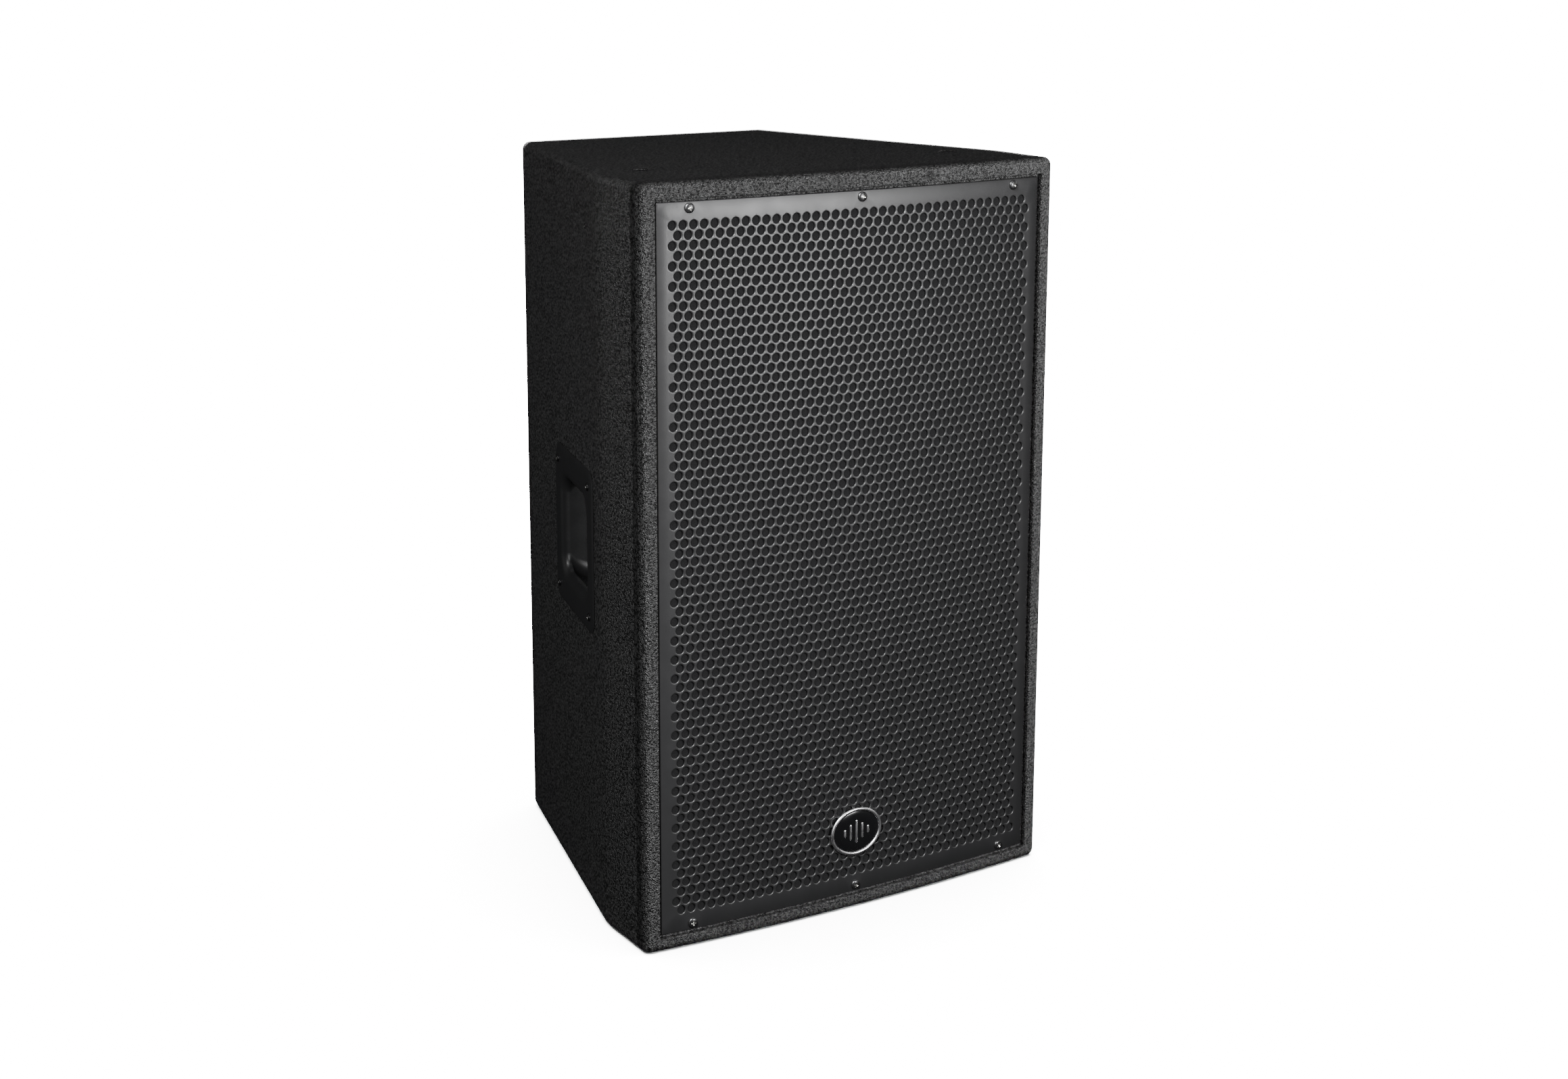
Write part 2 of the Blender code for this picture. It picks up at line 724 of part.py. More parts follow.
def port_tube(name, plastic, parent):
    """A tube with a flared, flanged mouth."""
    outer, mouth, lip_back = PORT_RADIUS + PORT_WALL, 0.0005, 0.0023
    profile = [
        (PORT_RADIUS, 0.0060),
        (outer, mouth),
        (PORT_LIP_RADIUS, mouth),
        (PORT_LIP_RADIUS, lip_back),
        (outer, lip_back),
        (outer, PORT_LENGTH),
        (PORT_RADIUS, PORT_LENGTH),
    ]
    add(name, turned(profile, SMALL_STEPS), plastic, parent=parent)


# Handles


def handle_frames():
    """An empty in the middle of each handle plate, on the side's outer face. Its local +Z points out."""
    _, bend, back = side_line()
    along = (back - bend).normalized()
    middle = bend + along * HANDLE_ALONG
    frames = {}
    for side, sign in (("left", -1), ("right", 1)):
        axis_z = Vector((sign * along.y, -along.x, 0.0))
        axis_y = Vector((0.0, 0.0, 1.0))
        axis_x = axis_y.cross(axis_z)
        turn = Matrix((axis_x, axis_y, axis_z)).transposed()
        location = (sign * middle.x, middle.y, HANDLE_Z)
        frames[side] = frame_at(f"{side}_handle_frame", location, turn.to_euler())
    return frames


def handle_shape(name, plastic, parent):
    """A thin plate with a moulded pocket behind it, which is wider than its mouth so that fingers hook in."""
    plate = prism(rounded_rectangle(*HANDLE_PLATE, 0.016), GAP, HANDLE_PLATE_THICKNESS)
    rim = [e for e in plate.edges if all(v.co.z > HANDLE_PLATE_THICKNESS - 1e-6 for v in e.verts)]
    bevel(plate, rim, 0.0012, segments=2)
    handle = add(name, plate, plastic, parent=parent)
    cup = prism(rounded_rectangle(*HANDLE_CUP, 0.012), -HANDLE_DEPTH, GAP + 0.0005)
    boolean(handle, add(f"join_{name}_cup", cup, parent=parent), "UNION")

    skin, lip = 0.003, 0.008
    rear = rounded_rectangle(HANDLE_CUP[0] - 2 * skin, HANDLE_CUP[1] - 2 * skin, 0.010)
    undercut = prism(rear, -HANDLE_DEPTH + skin, -lip)
    boolean(handle, add(f"cut_{name}_undercut", undercut, parent=parent))

    width, height = HANDLE_POCKET
    flare = ((0.006, 0.006), (0.006, HANDLE_PLATE_THICKNESS), (0.0015, -0.001), (0.0, -0.004), (0.0, -0.012))
    rings = []
    for grow, z in flare:
        outline = rounded_rectangle(width + 2 * grow, height + 2 * grow, 0.012 + grow)
        rings.append([(x, y, z) for x, y in outline])
    boolean(handle, add(f"cut_{name}_mouth", lofted(rings, capped=True), parent=parent))


def handles(panels, plastic):
    outline = rounded_rectangle(HANDLE_CUP[0] + 0.003, HANDLE_CUP[1] + 0.003, 0.013)
    for panel, (side, frame) in zip(panels, handle_frames().items()):
        handle_shape(f"{side}_handle", plastic, frame)
        opening = prism(outline, -0.040, 0.010)
        boolean(panel, add(f"cut_{side}_handle_opening", opening, parent=frame))


# Rigging points and pole socket


def rigging_points(top, bottom, steel):
    """Recessed screws that blank the threaded rigging points, two in the top and two in the bottom."""
    recess, depth, thread = RIGGING_RECESS_RADIUS, RIGGING_RECESS_DEPTH, RIGGING_THREAD_RADIUS
    head = [
        (0.0, -0.0016),
        (0.0025, -0.0016),
        (0.0030, -0.0006),
        (0.0070, -0.0006),
        (0.0080, -0.0014),
        (0.0080, GAP - depth),
        (thread, GAP - depth),
        (thread, -0.0200),
        (0.0, -0.0200),
    ]
    hole = [
        (0.0, 0.01),
        (recess, 0.01),
        (recess, -depth),
        (thread + 0.0005, -depth),
        (thread + 0.0005, -WALL - 0.01),
        (0.0, -WALL - 0.01),
    ]
    for panel, place, z, turn in ((top, "top", CABINET_HEIGHT, 0.0), (bottom, "bottom", 0.0, math.pi)):
        for side, sign in (("left", -1), ("right", 1)):
            name = f"rigging_plug_{place}_{side}"
            spot = frame_at(f"{name}_frame", (sign * RIGGING_X, RIGGING_Y, z), (turn, 0.0, 0.0))
            add(name, turned(head, SCREW_STEPS), steel, parent=spot)
            boolean(panel, add(f"cut_{name}", turned(hole, SCREW_STEPS), parent=spot))


def pole_socket(bottom, steel):
    """A closed tube for a speaker pole, flanged into the underside."""
    outer = POLE_BORE_RADIUS + POLE_WALL
    flange_low = GAP
    flange_high = GAP + POLE_FLANGE_THICKNESS
    profile = [
        (POLE_BORE_RADIUS + 0.0015, flange_low),
        (POLE_FLANGE_RADIUS, flange_low),
        (POLE_FLANGE_RADIUS, flange_high),
        (outer, flange_high),
        (outer, POLE_DEPTH + POLE_WALL),
        (0.0, POLE_DEPTH + POLE_WALL),
        (0.0, POLE_DEPTH),
        (POLE_BORE_RADIUS, POLE_DEPTH),
        (POLE_BORE_RADIUS, 0.003),
    ]
    spot = frame_at("pole_socket_frame", (0.0, POLE_Y, 0.0))
    add("pole_socket", turned(profile), steel, parent=spot)
    rebate = flange_high + GAP
    hole = [
        (0.0, -0.01),
        (POLE_FLANGE_RADIUS + 0.0005, -0.01),
        (POLE_FLANGE_RADIUS + 0.0005, rebate),
        (outer + 0.0005, rebate),
        (outer + 0.0005, WALL + 0.01),
        (0.0, WALL + 0.01),
    ]
    boolean(bottom, add("cut_pole_socket", turned(hole), parent=spot))


# Back


def connector_dish(back, plastic):
    """A moulded dish let into the back panel. Its floor carries two sockets."""
    spot = frame_at("connector_dish_frame", (0.0, BACK_Y, DISH_Z), (-math.pi / 2, 0.0, 0.0))
    plate_back = 0.0028
    plate = prism(rounded_rectangle(*DISH_PLATE, 0.010), -plate_back, -GAP)
    dish = add("connector_dish", plate, plastic, parent=spot)
    outer = (DISH_POCKET[0] + 2 * DISH_WALL, DISH_POCKET[1] + 2 * DISH_WALL)
    cup = prism(rounded_rectangle(*outer, 0.010), -DISH_DEPTH, -0.0010)
    boolean(dish, add("join_connector_dish_cup", cup, parent=spot), "UNION")
    pocket = prism(rounded_rectangle(*DISH_POCKET, 0.008), -DISH_DEPTH + DISH_WALL, 0.010)
    boolean(dish, add("cut_connector_dish_pocket", pocket, parent=spot))

    rebate_outline = rounded_rectangle(DISH_PLATE[0] + 0.001, DISH_PLATE[1] + 0.001, 0.010)
    rebate = prism(rebate_outline, -plate_back - GAP, 0.010)
    boolean(back, add("cut_dish_rebate", rebate, parent=spot))
    through = prism(rounded_rectangle(outer[0] + 0.002, outer[1] + 0.002, 0.010), -WALL - 0.010, 0.010)
    boolean(back, add("cut_dish_through", through, parent=spot))
    return dish, spot


def speaker_sockets(dish, spot, plastic):
    """Four-pole twist-lock sockets, each a keyed ring round a centre post."""
    floor = -DISH_DEPTH + DISH_WALL
    bore, post, body = 0.0105, 0.0035, 0.0125
    profile = [
        (bore, floor + 0.0030),
        (body, floor + 0.0030),
        (body, floor - 0.0200),
        (0.0, floor - 0.0200),
        (0.0, floor + 0.0010),
        (post, floor + 0.0010),
        (post, floor - 0.0150),
        (bore, floor - 0.0150),
    ]
    for name, x in (("speaker_socket_input", -SOCKET_X), ("speaker_socket_link", SOCKET_X)):
        place = frame_at(f"{name}_frame", (x, 0.0, 0.0))
        place.parent = spot
        flange = prism(rounded_rectangle(0.026, 0.031, 0.003), floor + GAP, floor + 0.0024)
        socket = add(name, flange, plastic, parent=place)
        mouth = drill((bore + body) / 2, floor - 0.01, floor + 0.01)
        boolean(socket, add(f"cut_{name}_mouth", mouth, parent=place))
        boolean(socket, add(f"join_{name}_body", turned(profile, SMALL_STEPS), parent=place), "UNION")
        hole = drill(body + 0.0005, floor - 0.01, floor + 0.01)
        boolean(dish, add(f"cut_{name}_hole", hole, parent=place))


def crossover(board_green, copper, film, ceramic):
    """Circuit board on the inside of the back panel, with its coils, capacitor and resistor."""
    back = BACK_Y - WALL - GAP
    front = back - 0.0016
    board = shifted(rounded_rectangle(*BOARD_SIZE, 0.003), 0.0, BOARD_Z)
    add("crossover_board", prism(board, front, back, axis="Y"), board_green)
    coils = (
        ("low_pass_coil", -0.045, 0.145, 0.012, 0.027, 0.024),
        ("high_pass_coil", 0.025, 0.135, 0.008, 0.018, 0.016),
    )
    for name, x, z, inner, outer, height in coils:
        spot = frame_at(f"{name}_frame", (x, front - GAP - height, z), (-math.pi / 2, 0.0, 0.0))
        add(name, washer(inner, outer, 0.0, height, SMALL_STEPS), copper, parent=spot)
    radius, length, edge = 0.0125, 0.045, 0.001
    place = (0.005, front - GAP - radius, 0.192)
    spot = frame_at("crossover_capacitor_frame", place, (0.0, math.pi / 2, 0.0))
    ends = [(radius, edge), (radius, length - edge)]
    profile = [(0.0, 0.0), (radius - edge, 0.0)] + ends + [(radius - edge, length), (0.0, length)]
    add("crossover_capacitor", turned(profile, SMALL_STEPS), film, parent=spot)
    outline = shifted(rounded_rectangle(0.010, 0.048, 0.001, 1), 0.065, 0.155)
    add("crossover_resistor", prism(outline, front - GAP - 0.009, front - GAP, axis="Y"), ceramic)


def damping_wadding(wool):
    """Sound-absorbing wadding on the inside of the back panel, above the connectors."""
    back = BACK_Y - WALL - GAP
    half = side_x(back, WALL) - 0.004
    outline = shifted(rounded_rectangle(2 * half, 0.190, 0.010), 0.0, 0.565)
    add("damping_wadding", prism(outline, back - 0.025, back, axis="Y"), wool)


# Internal wiring


def smooth_route(points, per_span=5):
    """Points along a smooth curve through the given ones."""
    points = [Vector(p) for p in points]
    ends = [points[0] * 2 - points[1]] + points + [points[-1] * 2 - points[-2]]
    tangents = [(ends[i + 2] - ends[i]) / 6 for i in range(len(points))]
    route = []
    for i in range(len(points) - 1):
        a, b = points[i], points[i + 1]
        route += interpolate_bezier(a, a + tangents[i], b - tangents[i + 1], b, per_span + 1)[:-1]
    return route + [points[-1]]


def lead(name, points, material):
    """An insulated lead clipped inside the cabinet."""
    curve = bpy.data.curves.new(name, "CURVE")
    curve.dimensions = "3D"
    curve.bevel_depth = LEAD_RADIUS
    curve.bevel_resolution = 2
    curve.use_fill_caps = True
    route = smooth_route(points)
    spline = curve.splines.new("POLY")
    spline.points.add(len(route) - 1)
    for point, place in zip(spline.points, route):
        point.co = (*place, 1.0)
    curve.materials.append(material)
    obj = bpy.data.objects.new(name, curve)
    bpy.context.scene.collection.objects.link(obj)


def wiring(insulation):
    woofer = [
        (0.045, 0.1745, 0.2185),
        (0.062, 0.147, 0.240),
        (0.095, 0.088, 0.285),
        (0.110, 0.020, 0.315),
        (0.105, -0.048, 0.320),
        (0.087, -0.0885, 0.309),
    ]
    lead("woofer_lead", woofer, insulation)
    tweeter = [
        (-0.045, 0.1745, 0.2185),
        (-0.066, 0.1415, 0.245),
        (-0.088, 0.1245, 0.310),
        (-0.090, 0.1225, 0.400),
        (-0.086, 0.1185, 0.470),
        (-0.072, 0.059, 0.540),
        (-0.055, -0.0265, 0.572),
    ]
    lead("horn_lead", tweeter, insulation)
    inlet = [
        (-0.026, 0.1325, 0.324),
        (-0.018, 0.1185, 0.295),
        (-0.004, 0.1285, 0.255),
        (0.000, 0.1685, 0.2185),
    ]
    lead("input_lead", inlet, insulation)


def build():
    clear_scene()
    paint = finish("textured_black_paint", (0.018, 0.018, 0.019), 0.62)
    wood = finish("birch_plywood", (0.52, 0.37, 0.21), 0.6)
    grille_steel = finish("black_powder_coated_steel", (0.05, 0.05, 0.053), 0.42, 0.3)
    foam_grey = finish("acoustic_foam", (0.06, 0.06, 0.062), 0.95)
    screw_steel = finish("screw_steel", (0.45, 0.45, 0.46), 0.3, 1.0)
    chrome = finish("polished_chrome", (0.85, 0.85, 0.86), 0.12, 1.0)
    black = finish("gloss_black", (0.01, 0.01, 0.011), 0.2)
    plastic = finish("black_plastic", (0.022, 0.022, 0.024), 0.35)
    casting = finish("cast_aluminium", (0.10, 0.10, 0.105), 0.5, 0.7)
    rubber = finish("treated_cloth", (0.02, 0.02, 0.02), 0.7)
    paper = finish("cone_paper", (0.035, 0.033, 0.032), 0.8)
    amber_cloth = finish("spider_cloth", (0.62, 0.47, 0.20), 0.85)
    plated = finish("plated_steel", (0.55, 0.55, 0.53), 0.35, 1.0)
    ferrite = finish("ferrite", (0.06, 0.06, 0.062), 0.6)
    titanium = finish("titanium", (0.62, 0.60, 0.57), 0.3, 1.0)
    copper = finish("enamelled_copper", (0.62, 0.26, 0.11), 0.35, 0.9)
    board_green = finish("circuit_board", (0.02, 0.14, 0.06), 0.5)
    film = finish("film_capacitor", (0.55, 0.42, 0.05), 0.4)
    ceramic = finish("ceramic_white", (0.75, 0.73, 0.68), 0.7)
    wool = finish("polyester_wadding", (0.62, 0.62, 0.60), 0.95)
    insulation = finish("lead_insulation", (0.30, 0.02, 0.02), 0.5)

    sides = side_panels(paint)
    top, bottom = top_and_bottom_panels(paint)
    back = back_panel(paint)
    frame = front_frame(paint)
    internal_brace(wood)

    sheet = grille(grille_steel, foam_grey)
    grille_screws(sheet, frame, screw_steel)
    badge(black, chrome)

    woofer_frame = driver_frame("woofer_frame", 0.0, WOOFER_Z)
    horn_frame = driver_frame("horn_frame", 0.0, HORN_Z)
    ports = {
        "left_port_tube": driver_frame("left_port_frame", -PORT_X, PORT_Z),
        "right_port_tube": driver_frame("right_port_frame", PORT_X, PORT_Z),
    }
    front_baffle(wood, woofer_frame, horn_frame, ports.values())
    woofer_gasket(rubber, woofer_frame)
    woofer_basket(casting, woofer_frame)
    woofer_surround(rubber, woofer_frame)
    woofer_cone(paper, woofer_frame)
    woofer_dust_cap(paper, woofer_frame)
    woofer_voice_coil(copper, woofer_frame)
    woofer_spider(amber_cloth, woofer_frame)
    woofer_motor(plated, ferrite, woofer_frame)
    horn(plastic, horn_frame)
    compression_driver(plated, ferrite, titanium, casting, horn_frame)
    for name, port in ports.items():
        port_tube(name, plastic, port)

    handles(sides, plastic)
    rigging_points(top, bottom, screw_steel)
    pole_socket(bottom, plated)
    dish, dish_frame = connector_dish(back, plastic)
    speaker_sockets(dish, dish_frame, plastic)
    crossover(board_green, copper, film, ceramic)
    damping_wadding(wool)
    wiring(insulation)


build()
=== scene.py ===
"""Looks of the PA loudspeaker cabinet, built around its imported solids. Units are metres."""

import json
from math import asin, copysign, cos, dist, hypot, pi, radians, sin, sqrt, tau

import bmesh
import bpy
import numpy as np
from mathutils import Euler, Matrix, Quaternion, Vector
from mathutils.geometry import delaunay_2d_cdt

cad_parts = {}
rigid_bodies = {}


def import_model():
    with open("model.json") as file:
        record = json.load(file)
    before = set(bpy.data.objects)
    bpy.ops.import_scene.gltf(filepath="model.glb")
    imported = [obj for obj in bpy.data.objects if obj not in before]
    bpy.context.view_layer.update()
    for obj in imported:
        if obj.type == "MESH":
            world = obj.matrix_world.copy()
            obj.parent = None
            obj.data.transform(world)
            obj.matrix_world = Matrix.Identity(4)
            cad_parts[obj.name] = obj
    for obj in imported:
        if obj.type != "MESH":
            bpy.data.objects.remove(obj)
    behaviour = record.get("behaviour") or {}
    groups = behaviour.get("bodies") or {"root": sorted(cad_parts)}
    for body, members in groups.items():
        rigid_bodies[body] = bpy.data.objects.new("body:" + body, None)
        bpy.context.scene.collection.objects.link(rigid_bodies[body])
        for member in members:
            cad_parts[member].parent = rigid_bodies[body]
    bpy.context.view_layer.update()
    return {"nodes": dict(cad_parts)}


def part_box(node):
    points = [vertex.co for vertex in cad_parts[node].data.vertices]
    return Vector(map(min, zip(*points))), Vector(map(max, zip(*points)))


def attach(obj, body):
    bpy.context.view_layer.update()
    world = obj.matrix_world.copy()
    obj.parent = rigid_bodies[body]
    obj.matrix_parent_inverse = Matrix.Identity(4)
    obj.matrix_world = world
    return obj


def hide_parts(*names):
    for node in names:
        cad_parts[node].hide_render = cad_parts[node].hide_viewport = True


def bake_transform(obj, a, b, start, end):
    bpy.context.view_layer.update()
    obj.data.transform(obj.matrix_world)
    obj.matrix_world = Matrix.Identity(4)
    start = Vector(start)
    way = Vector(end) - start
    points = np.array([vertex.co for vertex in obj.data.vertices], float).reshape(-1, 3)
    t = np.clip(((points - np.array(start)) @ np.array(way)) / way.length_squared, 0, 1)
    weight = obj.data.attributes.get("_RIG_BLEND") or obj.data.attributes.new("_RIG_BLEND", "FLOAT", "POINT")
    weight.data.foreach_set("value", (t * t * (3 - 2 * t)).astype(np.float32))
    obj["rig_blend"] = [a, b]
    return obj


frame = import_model()
NODES = frame["nodes"]

# Cabinet, as in the solids
GAP = 0.0003
CABINET_WIDTH = 0.439
CABINET_HEIGHT = 0.688
FRONT_RADIUS = 2.28
BEND_WIDTH = 0.4368
BEND_SETBACK = 0.0876
BACK_WIDTH = 0.275
WALL = 0.015
ROUND_OVER = 0.0075
FRONT_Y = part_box("front_frame")[0].y
BACK_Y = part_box("back_panel")[1].y
FRAME_BACK_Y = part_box("front_frame")[1].y
BEND_Y = FRONT_Y + BEND_SETBACK
BEND_SOFTNESS = 0.012
WINDOW_WIDTH = 0.385
WINDOW_HEIGHT = 0.625
SEAT_MARGIN = 0.0024

# Grille
SHEET_LOW, SHEET_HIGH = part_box("front_grille")
SHEET_SETBACK = SHEET_LOW.y - FRONT_Y
SHEET_THICKNESS = 0.0015
PITCH = 0.010
ROW_PITCH = PITCH * sqrt(3) / 2
HOLE_RADIUS = 0.004
HOLE_SIDES = 18
ROWS = 72
COLUMNS = 38
TOP_ROW_Z = 0.6507
SCREW_HOLE_RADIUS = 0.0023

# Directions
UP = Vector((0.0, 0.0, 1.0))
UPSIDE_DOWN = Matrix.Rotation(pi, 4, "X")

# Camera and light
CAMERA_PLACE = (-1.1699, -1.9110, 0.9092)
CAMERA_YAW = radians(-32.714)
CAMERA_TILT = radians(-11.993)
CAMERA_ROLL = radians(0.271)
CAMERA_LENS = 54.51
CAMERA_SHIFT = (-0.0079, -0.0789)
SENSOR_WIDTH = 36.0
LIGHT_TARGET = Vector((0.0, -0.1, 0.34))
ROOM_STRENGTH = 0.014
BACKDROP_STRENGTH = 21.0
FLOOR_REACH = 40.0
FLOOR_DROP = 0.0002
FLOOR_LIGHT_STRENGTH = 80.0
FLOOR_LIGHT_SPREAD = radians(60)


# Camera, light and floor


def add(obj):
    bpy.context.scene.collection.objects.link(obj)
    return obj


def add_camera():
    data = bpy.data.cameras.new("camera")
    data.lens = CAMERA_LENS
    data.sensor_width = SENSOR_WIDTH
    data.shift_x, data.shift_y = CAMERA_SHIFT
    camera = add(bpy.data.objects.new("camera", data))
    camera.location = CAMERA_PLACE
    upright = Euler((pi / 2 + CAMERA_TILT, 0.0, CAMERA_YAW), "XYZ").to_quaternion()
    camera.rotation_euler = (upright @ Quaternion((0, 0, 1), CAMERA_ROLL)).to_euler()
    bpy.context.scene.camera = camera


def add_softbox(name, azimuth, elevation, distance, size, power):
    """A rectangular light. Azimuth 0 is in front of the cabinet, and positive to its right."""
    data = bpy.data.lights.new(name, "AREA")
    data.shape = "RECTANGLE"
    data.size, data.size_y = size
    data.energy = power
    light = add(bpy.data.objects.new(name, data))
    turn, rise = radians(azimuth), radians(elevation)
    away = Vector((sin(turn) * cos(rise), -cos(turn) * cos(rise), sin(rise)))
    light.location = LIGHT_TARGET + away * distance
    light.rotation_euler = away.to_track_quat("Z", "Y").to_euler()
    return light


def add_lights():
    add_softbox("key_softbox", 22, 10, 1.8, (0.5, 0.6), 28)
    add_softbox("top_softbox", 8, 62, 1.7, (0.9, 0.5), 3.5)
    add_softbox("left_strip_softbox", -52, 15, 1.7, (0.3, 0.9), 8)
    add_softbox("left_rear_softbox", -128, 8, 1.8, (0.9, 1.2), 0.7)
    add_softbox("right_softbox", 82, 18, 2.4, (1.0, 1.0), 7)
    add_softbox("high_rear_softbox", -178, 62, 2.4, (1.2, 0.8), 2.2)


def add_world():
    """A dim room, which the camera sees as white as the floor."""
    world = bpy.data.worlds.new("studio")
    world.use_nodes = True
    nodes, join = world.node_tree.nodes, world.node_tree.links.new
    dim, white = nodes["Background"], nodes.new("ShaderNodeBackground")
    for node, strength in ((dim, ROOM_STRENGTH), (white, BACKDROP_STRENGTH)):
        node.inputs["Color"].default_value = (0.97, 0.98, 1.0, 1.0)
        node.inputs["Strength"].default_value = strength
    path, mix = nodes.new("ShaderNodeLightPath"), nodes.new("ShaderNodeMixShader")
    join(path.outputs["Is Camera Ray"], mix.inputs[0])
    join(dim.outputs[0], mix.inputs[1])
    join(white.outputs[0], mix.inputs[2])
    join(mix.outputs[0], nodes["World Output"].inputs["Surface"])
    bpy.context.scene.world = world


def add_floor():
    """A pale floor with a light of its own, so that it is bright and doesn't wash out the black cabinet."""
    mesh = bpy.data.meshes.new("floor")
    signs = ((-1, -1), (1, -1), (1, 1), (-1, 1))
    mesh.from_pydata([(x * FLOOR_REACH, y * FLOOR_REACH, 0) for x, y in signs], [], [(0, 1, 2, 3)])
    mesh.materials.append(pale_floor())
    floor = add(bpy.data.objects.new("floor", mesh))
    floor.location.z = -FLOOR_DROP
    floor.visible_diffuse = False
    floor.visible_glossy = False

    data = bpy.data.lights.new("floor_light", "SUN")
    data.energy = FLOOR_LIGHT_STRENGTH
    data.angle = FLOOR_LIGHT_SPREAD
    light_only(add(bpy.data.objects.new("floor_light", data)), "floor")


def light_only(light, *names):
    """Keeps a light to the pieces whose names start like this."""
    lit = bpy.data.collections.new(f"lit_by_{light.name}")
    for obj in list(bpy.data.objects):
        if obj.type == "MESH" and obj.name.startswith(names):
            lit.objects.link(obj)
    light.light_linking.receiver_collection = lit


def add_selective_lights():
    """Crescents on the grille's holes, grain in the paint of the left side and top, and light on the back."""
    light = add_softbox("grille_softbox", -50, 44, 1.6, (0.40, 0.40), 110)
    light_only(light, "perforated_grille", "cross_screw", "polished_badge", "badge_bar")
    light = add_softbox("grain_softbox", -88, 32, 2.0, (0.25, 0.25), 8.5)
    light_only(light, "painted_left", "painted_top", "moulded_left", "left_")
    light = add_softbox("rear_softbox", 158, 22, 2.2, (1.2, 1.2), 26)
    back = ("painted_back", "moulded_connector", "twist_lock", "dish_screw")
    light_only(light, *back, "painted_right", "moulded_right")


# Materials


class Nodes:
    """A Principled material, with short ways to add and join its nodes."""

    def __init__(self, name, color, roughness, metallic=0.0, **sockets):
        self.material = bpy.data.materials.new(name)
        self.material.use_nodes = True
        self.tree = self.material.node_tree
        self.shader = self.tree.nodes["Principled BSDF"]
        self.material.diffuse_color = (*color, 1.0)
        self.set(self.shader, Base_Color=(*color, 1.0), Roughness=roughness, Metallic=metallic, **sockets)
        self.where = self.new("TexCoord").outputs["Object"]

    def new(self, kind):
        return self.tree.nodes.new(f"ShaderNode{kind}")

    def set(self, node, **values):
        for key, value in values.items():
            node.inputs[key.replace("_", " ")].default_value = value

    def join(self, source, node, socket):
        self.tree.links.new(source, node.inputs[socket])

    def noise(self, scale, detail=2.0, roughness=0.5, where=None):
        node = self.new("TexNoise")
        self.set(node, Scale=scale, Detail=detail, Roughness=roughness)
        self.join(where or self.where, node, "Vector")
        return node.outputs["Fac"]

    def cells(self, scale, smooth):
        """Distance from the nearest of many scattered points, rounded off between them."""
        node = self.new("TexVoronoi")
        node.feature = "SMOOTH_F1"
        self.set(node, Scale=scale, Smoothness=smooth)
        self.join(self.where, node, "Vector")
        return node.outputs["Distance"]

    def waves(self, scale, distortion, direction="X"):
        node = self.new("TexWave")
        node.bands_direction = direction
        self.set(node, Scale=scale, Distortion=distortion)
        self.join(self.where, node, "Vector")
        return node.outputs["Fac"]

    def color(self, source, *stops):
        """Colours the material by a ramp with (position, colour) stops."""
        node = self.new("ValToRGB")
        ramp = node.color_ramp
        while len(ramp.elements) < len(stops):
            ramp.elements.new(0.5)
        for element, (position, color) in zip(ramp.elements, stops):
            element.position = position
            element.color = (*color, 1.0)
        self.join(source, node, "Fac")
        self.join(node.outputs["Color"], self.shader, "Base Color")

    def math(self, operation, a, b):
        node = self.new("Math")
        node.operation = operation
        for socket, value in zip(node.inputs, (a, b)):
            if isinstance(value, (int, float)):
                socket.default_value = value
            else:
                self.tree.links.new(value, socket)
        return node.outputs["Value"]

    def roughness(self, source, smoothest, roughest, low=0.3, high=0.7):
        """Takes the source's values from low to high to a range of roughness."""
        node = self.new("MapRange")
        self.set(node, From_Min=low, From_Max=high, To_Min=smoothest, To_Max=roughest)
        self.join(source, node, "Value")
        self.join(node.outputs["Result"], self.shader, "Roughness")

    def bump(self, height, depth, strength):
        node = self.new("Bump")
        self.set(node, Strength=strength, Distance=depth)
        self.join(height, node, "Height")
        self.join(node.outputs["Normal"], self.shader, "Normal")


def textured_paint():
    """Sprayed texture paint: hard rounded grains about a millimetre wide. Its colour follows the raised
    specks, lighter on them and darker between them: painted highlight and painted shade on the grain.
    """
    m = Nodes("textured_paint", (0.030, 0.030, 0.031), 0.45, Specular_IOR_Level=1.0)
    grains = m.cells(850, 0.1)
    specks_and_painted_shading = m.noise(430, 2.0, 0.6)
    broad = m.noise(9, 2.0)
    height = m.math("SUBTRACT", specks_and_painted_shading, grains)
    # Colour follows the raised specks: painted highlight on them, painted shade in the lows between them.
    m.color(specks_and_painted_shading, (0.43, (0.002, 0.002, 0.0021)), (0.58, (0.085, 0.085, 0.086)))
    uneven = m.math("ADD", grains, m.math("MULTIPLY", broad, 0.3))
    m.roughness(uneven, 0.25, 0.42, low=0.1, high=0.9)
    m.bump(height, 0.0009, 1.0)
    return m.material


def powder_coat():
    m = Nodes("powder_coat", (0.013, 0.013, 0.0135), 0.36, Specular_IOR_Level=0.5)
    m.roughness(m.noise(60, 3.0), 0.34, 0.39)
    m.bump(m.noise(2400, 2.0), 0.00005, 0.5)
    return m.material


def foam():
    m = Nodes("open_cell_foam", (0.07, 0.07, 0.072), 0.95, Specular_IOR_Level=0.2)
    pores = m.cells(900, 0.2)
    m.color(pores, (0.15, (0.016, 0.016, 0.017)), (0.6, (0.024, 0.024, 0.025)))
    m.bump(pores, 0.0003, 0.5)
    return m.material


def chrome():
    m = Nodes("polished_chrome", (0.86, 0.86, 0.87), 0.30, 1.0)
    m.roughness(m.noise(180, 3.0), 0.26, 0.34)
    return m.material


def gloss_black():
    m = Nodes("gloss_black", (0.010, 0.010, 0.011), 0.14)
    m.roughness(m.noise(120, 3.0), 0.11, 0.18)
    return m.material


def moulded_plastic():
    m = Nodes("moulded_plastic", (0.026, 0.026, 0.027), 0.33)
    m.roughness(m.noise(45, 3.0), 0.28, 0.38)
    m.bump(m.noise(3200, 2.0), 0.00005, 0.5)
    return m.material


